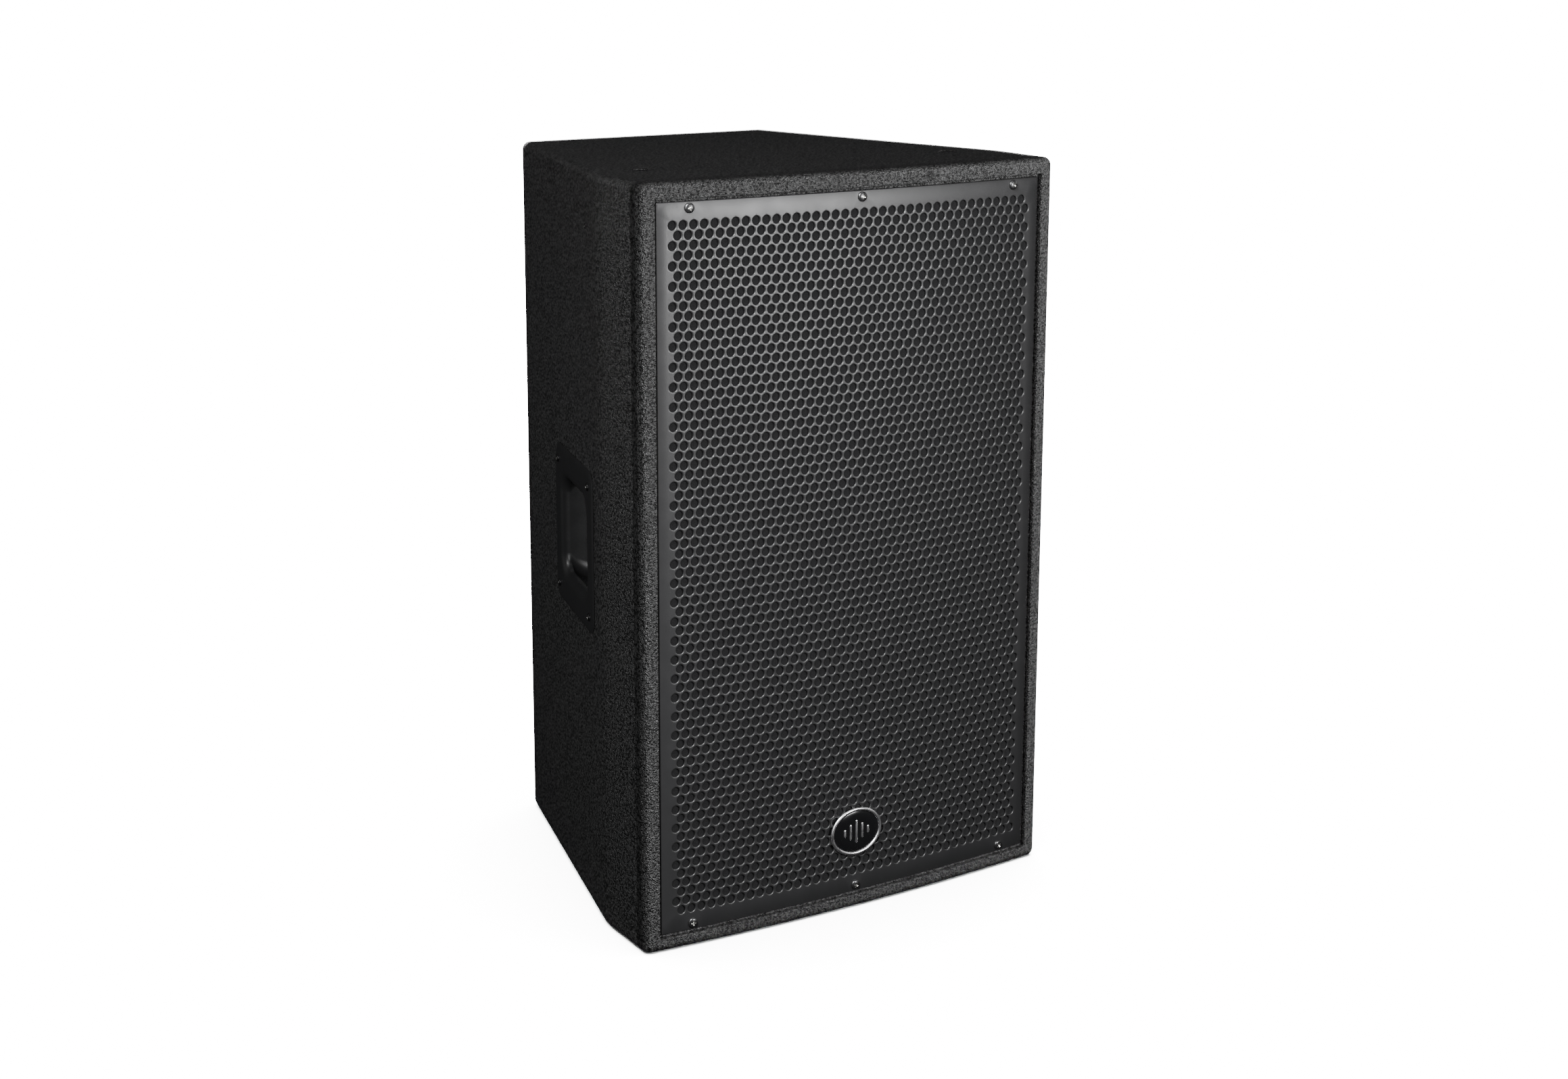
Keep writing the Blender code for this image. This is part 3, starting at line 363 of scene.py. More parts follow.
def blackened_steel():
    m = Nodes("blackened_steel", (0.07, 0.07, 0.072), 0.3, 0.9)
    m.roughness(m.noise(400, 3.0), 0.24, 0.36)
    return m.material


def plain(name, color, roughness, metallic=0.0, grain=900, depth=0.00005, spread=0.25):
    """Fine grain, with slight changes of colour and gloss."""
    m = Nodes(name, color, roughness, metallic)
    fine = m.noise(grain, 3.0, 0.6)
    broad = m.noise(grain / 40, 3.0)
    low = tuple(c * (1 - spread) for c in color)
    high = tuple(min(1.0, c * (1 + spread)) for c in color)
    m.color(broad, (0.3, low), (0.7, high))
    m.roughness(fine, roughness * 0.85, min(1.0, roughness * 1.15))
    m.bump(fine, depth, 0.6)
    return m.material


def windings():
    """Fine turns of enamelled wire."""
    m = Nodes("enamelled_copper", (0.55, 0.22, 0.09), 0.32, 0.9)
    turns = m.waves(400.0, 0.4)
    m.color(turns, (0.1, (0.30, 0.10, 0.04)), (0.6, (0.62, 0.26, 0.11)))
    m.bump(turns, 0.0003, 0.7)
    return m.material


def wadding():
    """Loose pale fibres."""
    m = Nodes("polyester_wadding", (0.62, 0.62, 0.60), 0.95, Specular_IOR_Level=0.1)
    upright = m.new("Mapping")
    m.set(upright, Scale=(1.0, 1.0, 0.35))
    m.join(m.where, upright, "Vector")
    fibres = m.noise(260, 6.0, 0.75, upright.outputs["Vector"])
    m.color(fibres, (0.3, (0.45, 0.45, 0.44)), (0.65, (0.70, 0.70, 0.68)))
    m.bump(fibres, 0.004, 0.9)
    return m.material


def pressed_paper():
    m = Nodes("pressed_paper", (0.033, 0.032, 0.031), 0.82)
    pulp = m.noise(500, 5.0, 0.7)
    m.color(pulp, (0.3, (0.022, 0.021, 0.020)), (0.7, (0.048, 0.046, 0.044)))
    m.bump(pulp, 0.0003, 0.8)
    return m.material


def woven(name, dark, light, roughness):
    """Crossed threads under a thin coating."""
    m = Nodes(name, light, roughness)
    weave = m.math("MULTIPLY", m.waves(350.0, 0.6, "X"), m.waves(350.0, 0.6, "Z"))
    m.color(weave, (0.05, dark), (0.6, light))
    m.bump(weave, 0.0002, 0.7)
    return m.material


def pale_floor():
    m = Nodes("pale_floor", (0.86, 0.86, 0.86), 0.75)
    broad = m.noise(0.7, 3.0)
    m.color(broad, (0.3, (0.84, 0.84, 0.84)), (0.7, (0.88, 0.88, 0.88)))
    return m.material


PAINT = textured_paint()
COAT = powder_coat()
FOAM = foam()
CHROME = chrome()
GLOSS = gloss_black()
PLASTIC = moulded_plastic()
BLACK_STEEL = blackened_steel()
STEEL = plain("zinc_plated_steel", (0.50, 0.50, 0.48), 0.32, 1.0, spread=0.1)
CLOTH = woven("treated_cloth", (0.010, 0.010, 0.010), (0.030, 0.030, 0.030), 0.65)
AMBER = woven("spider_cloth", (0.40, 0.28, 0.10), (0.64, 0.48, 0.21), 0.8)
PAPER = pressed_paper()


# Meshes


def link(name, mesh, material, sharp=35):
    mesh.shade_smooth()
    mesh.set_sharp_from_angle(angle=radians(sharp))
    for each in material if isinstance(material, tuple) else (material,):
        mesh.materials.append(each)
    return add(bpy.data.objects.new(name, mesh))


def outward(bm):
    """Turns the faces of a closed bmesh outwards."""
    bmesh.ops.recalc_face_normals(bm, faces=bm.faces)
    if bm.calc_volume(signed=True) < 0:
        bmesh.ops.reverse_faces(bm, faces=bm.faces)
    return bm


def weld(bm, distance=1e-6):
    bmesh.ops.remove_doubles(bm, verts=bm.verts, dist=distance)
    return bm


def simplified(bm, degrees):
    """Welds a mesh of triangles, and joins its faces that lie within this angle of each other."""
    weld(bm)
    bmesh.ops.dissolve_limit(bm, angle_limit=radians(degrees), verts=bm.verts, edges=bm.edges)
    return bm


def piece(name, source, material, replaces=(), body="cabinet", sharp=35):
    """A named piece from a bmesh or mesh. It rides on a body, and stands for the solids it replaces."""
    mesh = source
    if isinstance(source, bmesh.types.BMesh):
        mesh = bpy.data.meshes.new(name)
        outward(source).to_mesh(mesh)
        source.free()
    obj = link(name, mesh, material, sharp)
    if replaces:
        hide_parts(*replaces)
    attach(obj, body)
    return obj


def rounded_rectangle(width, height, radius, steps=8):
    """Counter-clockwise, about (0, 0)."""
    corners = []
    for i, (sx, sy) in enumerate(((1, 1), (-1, 1), (-1, -1), (1, -1))):
        for step in range(steps + 1):
            angle = pi / 2 * (i + step / steps)
            x = sx * (width / 2 - radius) + radius * cos(angle)
            y = sy * (height / 2 - radius) + radius * sin(angle)
            corners.append((x, y))
    return corners


def ellipse(width, height, steps=96):
    angles = [tau * i / steps for i in range(steps)]
    return [(width / 2 * cos(a), height / 2 * sin(a)) for a in angles]


def around(radius, angles, x=0.0, y=0.0):
    """Points at these angles on a circle."""
    return [(x + radius * cos(a), y + radius * sin(a)) for a in angles]


def level(outline, z):
    """A flat outline as a ring at this height."""
    return [(x, y, z) for x, y in outline]


def lofted(rings, capped=False):
    """Skin through rings of equal length. Both ends are capped, or else the last ring joins the first."""
    bm = bmesh.new()
    loops = [[bm.verts.new(p) for p in ring] for ring in rings]
    pairs = list(zip(loops, loops[1:])) + ([] if capped else [(loops[-1], loops[0])])
    for first, second in pairs:
        for k in range(len(first)):
            bm.faces.new((first[k - 1], first[k], second[k], second[k - 1]))
    if capped:
        bm.faces.new(loops[0])
        bm.faces.new(loops[-1])
    return weld(bm, 1e-7)


def prism(outline, low, high):
    """A flat outline carried from low to high along Z."""
    return lofted([level(outline, low), level(outline, high)], capped=True)


def turned(profile, steps=48):
    """A closed loop of (radius, height) points, turned about Z."""
    bm = bmesh.new()
    verts = [bm.verts.new((radius, 0, height)) for radius, height in profile]
    pairs = [(verts[i - 1], verts[i]) for i in range(len(verts))]
    edges = [bm.edges.new(pair) for pair in pairs if pair[0].co.x > 0 or pair[1].co.x > 0]
    spin = {"cent": (0, 0, 0), "axis": (0, 0, 1), "angle": tau, "steps": steps, "use_merge": True}
    bmesh.ops.spin(bm, geom=verts + edges, **spin)
    return weld(bm)


def thickened(face, thickness):
    """A closed profile of this face and another a thickness behind it."""
    return face + [(radius, height + thickness) for radius, height in face[::-1]]


def rounded_profile(corners, radius, steps=3):
    """A (radius, height) loop with its corners off the axis rounded."""
    points = []
    for i, corner in enumerate(corners):
        corner = Vector(corner)
        if corner.x <= 0:
            points.append(tuple(corner))
            continue
        sides = [Vector(corners[i - 1]) - corner, Vector(corners[(i + 1) % len(corners)]) - corner]
        ends = [corner + side.normalized() * min(radius, side.length * 0.45) for side in sides]
        for k in range(steps + 1):
            t = k / steps
            point = ends[0] * (1 - t) ** 2 + corner * 2 * t * (1 - t) + ends[1] * t**2
            points.append(tuple(point))
    return points


def carved(base, *cuts, region=None):
    """The mesh of a bmesh, kept to a region and with the cuts taken out of it."""
    tools = [(region, "INTERSECT")] if region else []
    tools += [(cut, "DIFFERENCE") for cut in cuts]
    made = []
    for bm in [base] + [tool for tool, _ in tools]:
        mesh = bpy.data.meshes.new("step")
        outward(bm).to_mesh(mesh)
        bm.free()
        made.append(add(bpy.data.objects.new("step", mesh)))
    for (_, operation), other in zip(tools, made[1:]):
        modifier = made[0].modifiers.new(operation, "BOOLEAN")
        modifier.operation = operation
        modifier.solver = "EXACT"
        modifier.object = other
    depsgraph = bpy.context.evaluated_depsgraph_get()
    result = bpy.data.meshes.new_from_object(made[0].evaluated_get(depsgraph))
    for obj in made:
        mesh = obj.data
        bpy.data.objects.remove(obj)
        bpy.data.meshes.remove(mesh)
    result.materials.clear()
    return result


def moved(source, matrix=Matrix()):
    """A bmesh copy of a mesh or bmesh, placed by a matrix."""
    if isinstance(source, bmesh.types.BMesh):
        bm = source.copy()
    else:
        bm = bmesh.new()
        bm.from_mesh(source)
    bm.transform(matrix)
    return bm


def facing(out, place):
    """The matrix of an upright place on a wall, with local +Z out of the wall and +Y up."""
    matrix = Matrix((UP.cross(out), UP, out)).transposed().to_4x4()
    matrix.translation = place
    return matrix


def flat_shaded(obj):
    """Keeps broad faces flat in shading, up to their rounded edges."""
    modifier = obj.modifiers.new("weighted_normals", "WEIGHTED_NORMAL")
    modifier.keep_sharp = True
    modifier.weight = 80
    return obj


# Cabinet plan


def front_y(x, setback=0.0):
    """Y of the curved front, or of a surface parallel to it further back."""
    centre = FRONT_Y + FRONT_RADIUS
    return centre - sqrt((FRONT_RADIUS - setback) ** 2 - x * x)


def side_line(inset=0.0):
    """Front end, bend and back end of the right side in plan, or of a surface inset from it."""
    front = Vector((CABINET_WIDTH / 2, front_y(CABINET_WIDTH / 2)))
    bend = Vector((BEND_WIDTH / 2, BEND_Y))
    back = Vector((BACK_WIDTH / 2, BACK_Y))
    runs = [(bend - front).normalized(), (back - bend).normalized()]
    inward = [Vector((-run.y, run.x)) for run in runs]
    at_bend = bend + (inward[0] + inward[1]) * inset / (1 + inward[0].dot(inward[1]))
    return front + inward[0] * inset, at_bend, back + inward[1] * inset


def side_x(y, inset=0.0):
    front, bend, back = side_line(inset)
    a, b = (front, bend) if y < bend.y else (bend, back)
    return a.x + (b.x - a.x) * (y - a.y) / (b.y - a.y)


def mirrored(points):
    return [(-x, y) for x, y in reversed(points)]


# Cabinet


def cabinet_solid():
    """The whole outside as one solid, with soft bends and rounded edges. The panels are cut out of it."""
    half = CABINET_WIDTH / 2
    arc = [(x, front_y(x)) for x in np.linspace(-half, half, 17)]
    right = [(BEND_WIDTH / 2, BEND_Y), (BACK_WIDTH / 2, BACK_Y)]
    bm = prism(arc + right + mirrored(right), 0.0, CABINET_HEIGHT)
    bends = []
    for edge in bm.edges:
        a, b = (v.co for v in edge.verts)
        if abs(a.y - BEND_Y) < 1e-6 and abs(b.y - BEND_Y) < 1e-6 and abs(a.x - b.x) < 1e-6:
            bends.append(edge)
    shape = {"offset_type": "OFFSET", "profile": 0.5, "affect": "EDGES", "clamp_overlap": False}
    bmesh.ops.bevel(bm, geom=bends, offset=BEND_SOFTNESS, segments=4, **shape)
    bmesh.ops.recalc_face_normals(bm, faces=bm.faces)
    outer = [e for e in bm.edges if e.calc_face_angle() > radians(30)]
    bmesh.ops.bevel(bm, geom=outer, offset=ROUND_OVER, segments=6, **shape)
    return bm


def panel(name, region, *cuts):
    """One wall: the part of the cabinet that lies in a region, without the cuts."""
    bm = simplified(moved(carved(cabinet_solid(), *cuts, region=region)), 0.1)
    flat_shaded(piece(f"painted_{name}", bm, PAINT, [name]))


def panels():
    """Sides, top, bottom and back, close against each other as on a cabinet painted after assembly."""
    start, end, far = FRAME_BACK_Y, BACK_Y - WALL, 0.3
    inner = [(side_x(start, WALL), start), tuple(side_line(WALL)[1]), (side_x(end, WALL), end)]
    beside = [(far, start), (far, end)] + inner[::-1]
    between = inner + mirrored(inner)
    opening = rounded_rectangle(HANDLE_CUP[0] + 0.003, HANDLE_CUP[1] + 0.003, 0.013)
    for side, plan in (("left", mirrored(beside)), ("right", beside)):
        cut = moved(prism(opening, -0.04, 0.01), handle_matrix(side))
        panel(f"{side}_side_panel", prism(plan, -0.01, CABINET_HEIGHT + 0.01), cut)
    recess = rigging_recess()
    top_cuts = [moved(recess, m) for m in rigging_matrices("top")]
    bottom_cuts = [moved(recess, m) for m in rigging_matrices("bottom")]
    bottom_cuts.append(pole_rebate())
    panel("top_panel", prism(between, CABINET_HEIGHT - WALL, CABINET_HEIGHT + 0.01), *top_cuts)
    panel("bottom_panel", prism(between, -0.01, WALL), *bottom_cuts)
    behind = [(-far, end), (far, end), (far, 0.25), (-far, 0.25)]
    panel("back_panel", prism(behind, -0.01, CABINET_HEIGHT + 0.01), *dish_opening())


def border_ring(half_width, low, high, radius):
    """Points (x, z) round a rectangle, with seven on each corner and others on the curved top and bottom."""
    ring, along = [], 20
    for i, (sx, top) in enumerate(((1, True), (-1, True), (-1, False), (1, False))):
        for step in range(7):
            angle = pi / 2 * (i + step / 6)
            x = sx * (half_width - radius) + radius * cos(angle)
            z = (high - radius if top else low + radius) + radius * sin(angle)
            ring.append((x, z))
        if i % 2 == 0:
            reach = half_width - radius
            xs = [reach * sx * (1 - 2 * k / along) for k in range(1, along)]
            ring += [(x, high if top else low) for x in xs]
    return ring


def border():
    """The curved front frame: window, grille seat, painted border and rounded outer edge."""
    ledge = SHEET_SETBACK + SHEET_THICKNESS + GAP
    half_window, low_window = WINDOW_WIDTH / 2, (CABINET_HEIGHT - WINDOW_HEIGHT) / 2
    window = border_ring(half_window, low_window, CABINET_HEIGHT - low_window, 0.0)
    rings = [[(x, FRAME_BACK_Y, z) for x, z in window], [(x, front_y(x, ledge), z) for x, z in window]]
    for grow, depth in ((0.0, ledge), (0.0, 0.0012), (0.0002, 0.0005), (0.0006, 0.0001), (0.0012, 0.0)):
        margin = SEAT_MARGIN + grow
        ring = border_ring(SHEET_HIGH.x + margin, SHEET_LOW.z - margin, SHEET_HIGH.z + margin, 0.001)
        rings.append([(x, front_y(x, depth), z) for x, z in ring])
    for step in range(7):
        angle = pi / 2 * step / 6
        inset = ROUND_OVER * (1 - sin(angle))
        depth = ROUND_OVER * (1 - cos(angle))
        half = CABINET_WIDTH / 2 - inset
        ring = border_ring(half, inset, CABINET_HEIGHT - inset, ROUND_OVER * sin(angle))
        rings.append([(x, front_y(x, depth), z) for x, z in ring])
    outer = border_ring(side_x(FRAME_BACK_Y), 0.0, CABINET_HEIGHT, ROUND_OVER)
    rings.append([(x, FRAME_BACK_Y, z) for x, z in outer])
    bm = lofted(rings)
    flat_shaded(piece("painted_front_frame", bm, PAINT, ["front_frame"]))


# Screws


def cross_screw(radius, height, shank=0.0, length=0.0):
    """A pan-head screw whose cross recess is bright steel, a painted glint on the black head. Its head rises
    along +Z from 0.
    """
    rim, rise = 0.35 * height, 0.65 * height
    dome = [(radius * sin(a), rim + rise * cos(a)) for a in np.linspace(0, pi / 2, 7)]
    profile = [(0.0, dome[0][1])] + dome[1:] + [(radius, 0.0)]
    profile += [(shank, 0.0), (shank, -length), (0.0, -length)] if shank else [(0.0, 0.0)]
    arm, half, deep = radius * 0.56, radius * 0.13, height * 0.75
    cuts = []
    for turn in (0.0, pi / 2):
        rings = []
        for z, share in ((height + 0.001, 1.25), (height - deep, 0.55)):
            reach = arm * share
            rings.append(level([(reach, half), (-reach, half), (-reach, -half), (reach, -half)], z))
        cuts.append(moved(lofted(rings, capped=True), Matrix.Rotation(turn + 0.5, 4, "Z")))
    mesh = carved(turned(profile, 32), *cuts)
    # The recess faces get bright steel: a painted glint in the recess.
    for face in mesh.polygons:
        x, y, z = face.center
        reach = hypot(x, y)
        surface = rim + rise * sqrt(max(0.0, 1 - (reach / radius) ** 2))
        if reach < radius * 0.75 and surface - height * 0.97 < z < surface - height * 0.12:
            face.material_index = 1
    return mesh


def bolt_circle(count, radius, height):
    """Places on a circle about Z, half a step on from X, with local +Z down."""
    places = []
    for k in range(count):
        turn = Matrix.Rotation(tau * (k + 0.5) / count, 4, "Z")
        places.append(turn @ Matrix.Translation((radius, 0.0, height)) @ UPSIDE_DOWN)
    return places


def place_screws(name, mesh, matrices, replaces=None):
    """Numbered copies of a screw, each turned by a different angle."""
    for number, matrix in enumerate(matrices, start=1):
        spun = matrix @ Matrix.Rotation(number * 1.1, 4, "Z")
        covers = [replaces[number - 1]] if replaces else []
        bm = moved(mesh, spun)
        piece(f"{name}_{number}", bm, (BLACK_STEEL, STEEL), covers, sharp=30)


def on_front(x, z, setback):
    """A place on the curved front."""
    turn = asin(x / FRONT_RADIUS)
    return facing(Vector((sin(turn), -cos(turn), 0.0)), (x, front_y(x, setback), z))


def grille_screws():
    nodes = [f"grille_screw_{number}" for number in range(1, 7)]
    matrices = [on_front(x, z, SHEET_SETBACK - 0.0001) for x, z in screw_places()]
    mesh = cross_screw(0.0045, 0.0022, 0.0018, 0.012)
    place_screws("cross_screw", mesh, matrices, replaces=nodes)


# Handles

HANDLE_ALONG = 0.102
HANDLE_Z = 0.343
HANDLE_PLATE = 0.152
HANDLE_MOUTH = (0.096, 0.090)
HANDLE_CUP = (0.118, 0.124)
HANDLE_DEPTH = 0.050
HANDLE_SCREW = 0.0608
# Shrink of the plate's outline, corner radius and height, up over its rolled edge
PLATE_EDGE = (
    (0.0, 0.016, GAP),
    (0.0, 0.016, 0.0005),
    (0.0020, 0.0155, 0.0010),
    (0.0060, 0.0150, 0.0016),
    (0.0110, 0.0150, 0.0019),
)
# Growth beyond the mouth and height, down over its rolled rim
MOUTH_RIM = ((0.0110, 0.0019), (0.0080, 0.0016), (0.0050, 0.0006), (0.0026, -0.0010), (0.0008, -0.0036))
# Along the side from the handle's middle towards the front, and up
SIDE_SCREW = (0.0575, 0.2955)


def handle_matrix(side):
    """The middle of a handle plate, on the side's outer face."""
    sign = -1 if side == "left" else 1
    _, bend, back = side_line()
    along = (back - bend).normalized()
    middle = bend + along * HANDLE_ALONG
    return facing(Vector((sign * along.y, -along.x, 0.0)), (sign * middle.x, middle.y, HANDLE_Z))


def handle_shell():
    """One moulding: the back of the cup, a thin plate, a rolled rim and a pocket that widens inside."""
    rings = []

    def ring(width, height, radius, z, shift=0.0):
        rings.append([(x + shift, y, z) for x, y in rounded_rectangle(width, height, radius)])

    width, height = HANDLE_CUP
    for shrink, z in ((0.008, 0.0), (0.0024, 0.0012), (0.0, 0.004), (0.0, HANDLE_DEPTH + GAP)):
        ring(width - shrink, height - shrink, 0.012, z - HANDLE_DEPTH)
    for shrink, radius, z in PLATE_EDGE:
        ring(HANDLE_PLATE - shrink, HANDLE_PLATE - shrink, radius, z)
    width, height = HANDLE_MOUTH
    for grow, z in MOUTH_RIM:
        ring(width + 2 * grow, height + 2 * grow, 0.016 + grow, z)
    ring(width, height, 0.016, -0.0066)
    deepest = HANDLE_DEPTH - 0.003
    for share in np.linspace(0.15, 1.0, 11):
        turn = pi / 2 * share
        swell = sin(min(turn * 2, pi / 2))
        rear = -width / 2 + 0.046 * (1 - cos(turn))
        front = width / 2 + 0.007 * swell - 0.010 * max(0.0, share - 0.8) / 0.2
        tall = height + 0.014 * swell - 0.020 * max(0.0, share - 0.7) / 0.3
        ring(front - rear, tall, 0.014, -deepest * sin(turn), (front + rear) / 2)
    return lofted(rings, capped=True)


def handles():
    shell = handle_shell()
    screw = cross_screw(0.0036, 0.0018)
    for side in ("left", "right"):
        matrix = handle_matrix(side)
        name = f"{side}_handle"
        flat_shaded(piece(f"moulded_{name}", moved(shell, matrix), PLASTIC, [name]))
        corners = [(sx * HANDLE_SCREW, sz * HANDLE_SCREW, 0.0019) for sx in (-1, 1) for sz in (-1, 1)]
        spots = [matrix @ Matrix.Translation(c) for c in corners]
        place_screws(f"{name}_screw", screw, spots)
    shell.free()


def side_screws():
    """A small flush screw high on each side."""
    screw = cross_screw(0.0027, 0.0008)
    for side, sign in (("left", -1), ("right", 1)):
        matrix = handle_matrix(side)
        spot = Matrix.Translation((-sign * SIDE_SCREW[0], SIDE_SCREW[1], -0.0001))
        place_screws(f"{side}_side_screw", screw, [matrix @ spot])


# Grille

# (Growth of the radius or inset from the outline, depth), over a rolled edge and through the sheet
HOLE_EDGE = ((0.00060, 0.0), (0.00032, 0.00009), (0.00009, 0.00032), (0.0, 0.00060), (0.0, SHEET_THICKNESS))
SHEET_EDGE = ((0.0007, 0.0), (0.0002, 0.0002), (0.0, 0.0007), (0.0, SHEET_THICKNESS))
SHEET_CORNER = 0.0015
SHEET_STEP = 0.008


def run_at(x):
    """Distance along the curved front from its middle."""
    return FRONT_RADIUS * asin(x / FRONT_RADIUS)


def hole_centres():
    """Staggered rows, alternately half a pitch to the left and to the right."""
    half_row = (COLUMNS - 1) / 2
    for row in range(ROWS):
        offset = -PITCH / 4 if row % 2 == 0 else PITCH / 4
        for column in range(COLUMNS):
            yield (column - half_row) * PITCH + offset, TOP_ROW_Z - row * ROW_PITCH


def cell_corner(step):
    """A point on the six-sided cell round a hole: three for each of its sides."""
    side, part = divmod(step, HOLE_SIDES // 6)
    ends = []
    for corner in (side, side + 1):
        angle = radians(30 + 60 * corner)
        reach = PITCH / sqrt(3)
        ends.append(Vector((reach * cos(angle), reach * sin(angle))))
    return ends[0].lerp(ends[1], part / (HOLE_SIDES // 6))


class Sheet:
    """A sheet in (run along it, z, depth), which is bent to the cabinet's front at the end."""

    def __init__(self):
        self.points = []
        self.faces = []
        self.known = {}

    def point(self, x, z, depth, shared=False):
        if not shared:
            self.points.append((x, z, depth))
            return len(self.points) - 1
        key = (round(x, 6), round(z, 6), round(depth, 6))
        if key not in self.known:
            self.known[key] = self.point(x, z, depth)
        return self.known[key]

    def strip(self, first, second):
        """Quads between two closed loops of equal length."""
        for k in range(len(first)):
            self.faces.append((first[k - 1], first[k], second[k], second[k - 1]))

    def bent(self):
        mesh = bpy.data.meshes.new("sheet")
        places = []
        for run, z, depth in self.points:
            x = FRONT_RADIUS * sin(run / FRONT_RADIUS)
            places.append((x, front_y(x, SHEET_SETBACK + depth), z))
        mesh.from_pydata(places, [], self.faces)
        return weld(moved(mesh), 3e-6)


def inside(points, loop):
    """Which points lie inside a closed loop, by counting its crossings."""
    x, z = points[:, :1], points[:, 1:]
    a, b = loop, np.roll(loop, -1, axis=0)
    crosses = (a[:, 1] > z) != (b[:, 1] > z)
    run = np.where(b[:, 1] == a[:, 1], 1.0, b[:, 1] - a[:, 1])
    at = a[:, 0] + (z - a[:, 1]) / run * (b[:, 0] - a[:, 0])
    return (crosses & (x < at)).sum(axis=1) % 2 == 1


def sheet_outline(inset):
    """Counter-clockwise, with rounded corners and a point at each step."""
    reach, low, high = run_at(SHEET_HIGH.x) - inset, SHEET_LOW.z + inset, SHEET_HIGH.z - inset
    radius = SHEET_CORNER - inset
    loop = []
    for quarter, (x, z) in enumerate(((reach, high), (-reach, high), (-reach, low), (reach, low))):
        cx = x - copysign(radius, x)
        cz = z - radius if z == high else z + radius
        loop += around(radius, [pi / 2 * (quarter + i / 4) for i in range(5)], cx, cz)
    dense = []
    for i, point in enumerate(loop):
        following = loop[(i + 1) % len(loop)]
        count = max(1, round(dist(point, following) / SHEET_STEP))
        for k in range(count):
            share = k / count
            dense.append(tuple(p + (q - p) * share for p, q in zip(point, following)))
    return dense


def hole_zone(sheet):
    """Adds the holes and the six-sided cells round them. Returns the outline of all the cells together."""
    circle = [radians(30 + 360 * k / HOLE_SIDES) for k in range(HOLE_SIDES)]
    cell = [cell_corner(k) for k in range(HOLE_SIDES)]
    free = {}
    for x, z in hole_centres():
        front = [sheet.point(x + c.x, z + c.y, 0.0, shared=True) for c in cell]
        back = [sheet.point(x + c.x, z + c.y, SHEET_THICKNESS, shared=True) for c in cell]
        rings = [front]
        for grow, depth in HOLE_EDGE:
            rings.append([sheet.point(*p, depth) for p in around(HOLE_RADIUS + grow, circle, x, z)])
        rings.append(back)
        for first, second in zip(rings, rings[1:]):
            sheet.strip(first, second)
        for edge in zip(front[-1:] + front, front):
            if edge[::-1] in free:
                del free[edge[::-1]]
            else:
                free[edge] = True
    following = dict(free.keys())
    start = next(iter(following))
    zone = [start]
    while following[zone[-1]] != start:
        zone.append(following[zone[-1]])
    return [sheet.points[i][:2] for i in zone]


def plain_margin(sheet, depth, outline, zone, screw_holes):
    """Adds one face of the sheet between its outline, the hole zone and the screw holes."""
    flat, edges = [], []
    for loop in [zone, outline] + screw_holes:
        first = len(flat)
        flat += [Vector(p) for p in loop]
        edges += [(first + k, first + (k + 1) % len(loop)) for k in range(len(loop))]
    verts, _, triangles, _, _, _ = delaunay_2d_cdt(flat, edges, [], 0, 1e-7)
    places = np.array([tuple(v) for v in verts])
    middles = places[np.array(triangles)].mean(axis=1)
    keep = inside(middles, np.array(outline))
    for loop in [zone] + screw_holes:
        keep &= ~inside(middles, np.array(loop))
    ids = [sheet.point(*v, depth, shared=True) for v in verts]
    sheet.faces += [tuple(ids[i] for i in t) for t, kept in zip(triangles, keep) if kept]


def perforated_sheet():
    """The grille: a bent steel sheet with rolled hole edges, a plain margin and six screw holes."""
    sheet = Sheet()
    zone = hole_zone(sheet)
    angles = [tau * k / 16 for k in range(16)]
    screw_holes = [around(SCREW_HOLE_RADIUS, angles, run_at(x), z) for x, z in screw_places()]
    plain_margin(sheet, 0.0, sheet_outline(SHEET_EDGE[0][0]), zone, screw_holes)
    plain_margin(sheet, SHEET_THICKNESS, sheet_outline(0.0), zone, screw_holes)

    def ring(loop, depth):
        return [sheet.point(x, z, depth, shared=True) for x, z in loop]

    rings = [ring(sheet_outline(inset), depth) for inset, depth in SHEET_EDGE]
    for first, second in zip(rings, rings[1:]):
        sheet.strip(first, second)
    for loop in screw_holes:
        sheet.strip(ring(loop, 0.0), ring(loop, SHEET_THICKNESS))
    piece("perforated_grille", sheet.bent(), COAT, ["front_grille"], sharp=50)


def screw_places():
    """(x, z) of each grille screw, from its solid."""
    places = []
    for number in range(1, 7):
        low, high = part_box(f"grille_screw_{number}")
        places.append(((low.x + high.x) / 2, (low.z + high.z) / 2))
    return places


# Badge

BADGE_RIM = 0.0032
BAR_X = (-0.0128, -0.0064, 0.0, 0.0064, 0.0128)
BAR_HEIGHTS = (0.0075, 0.0150, 0.0225, 0.0150, 0.0075)
BAR_WIDTH = 0.0024
# (Inset from the outline, height above the plate), over a bar's rounded edge
BAR_EDGE = ((0.0, -0.0001), (0.0, 0.0002), (0.0003, 0.0005), (0.0007, 0.0006))


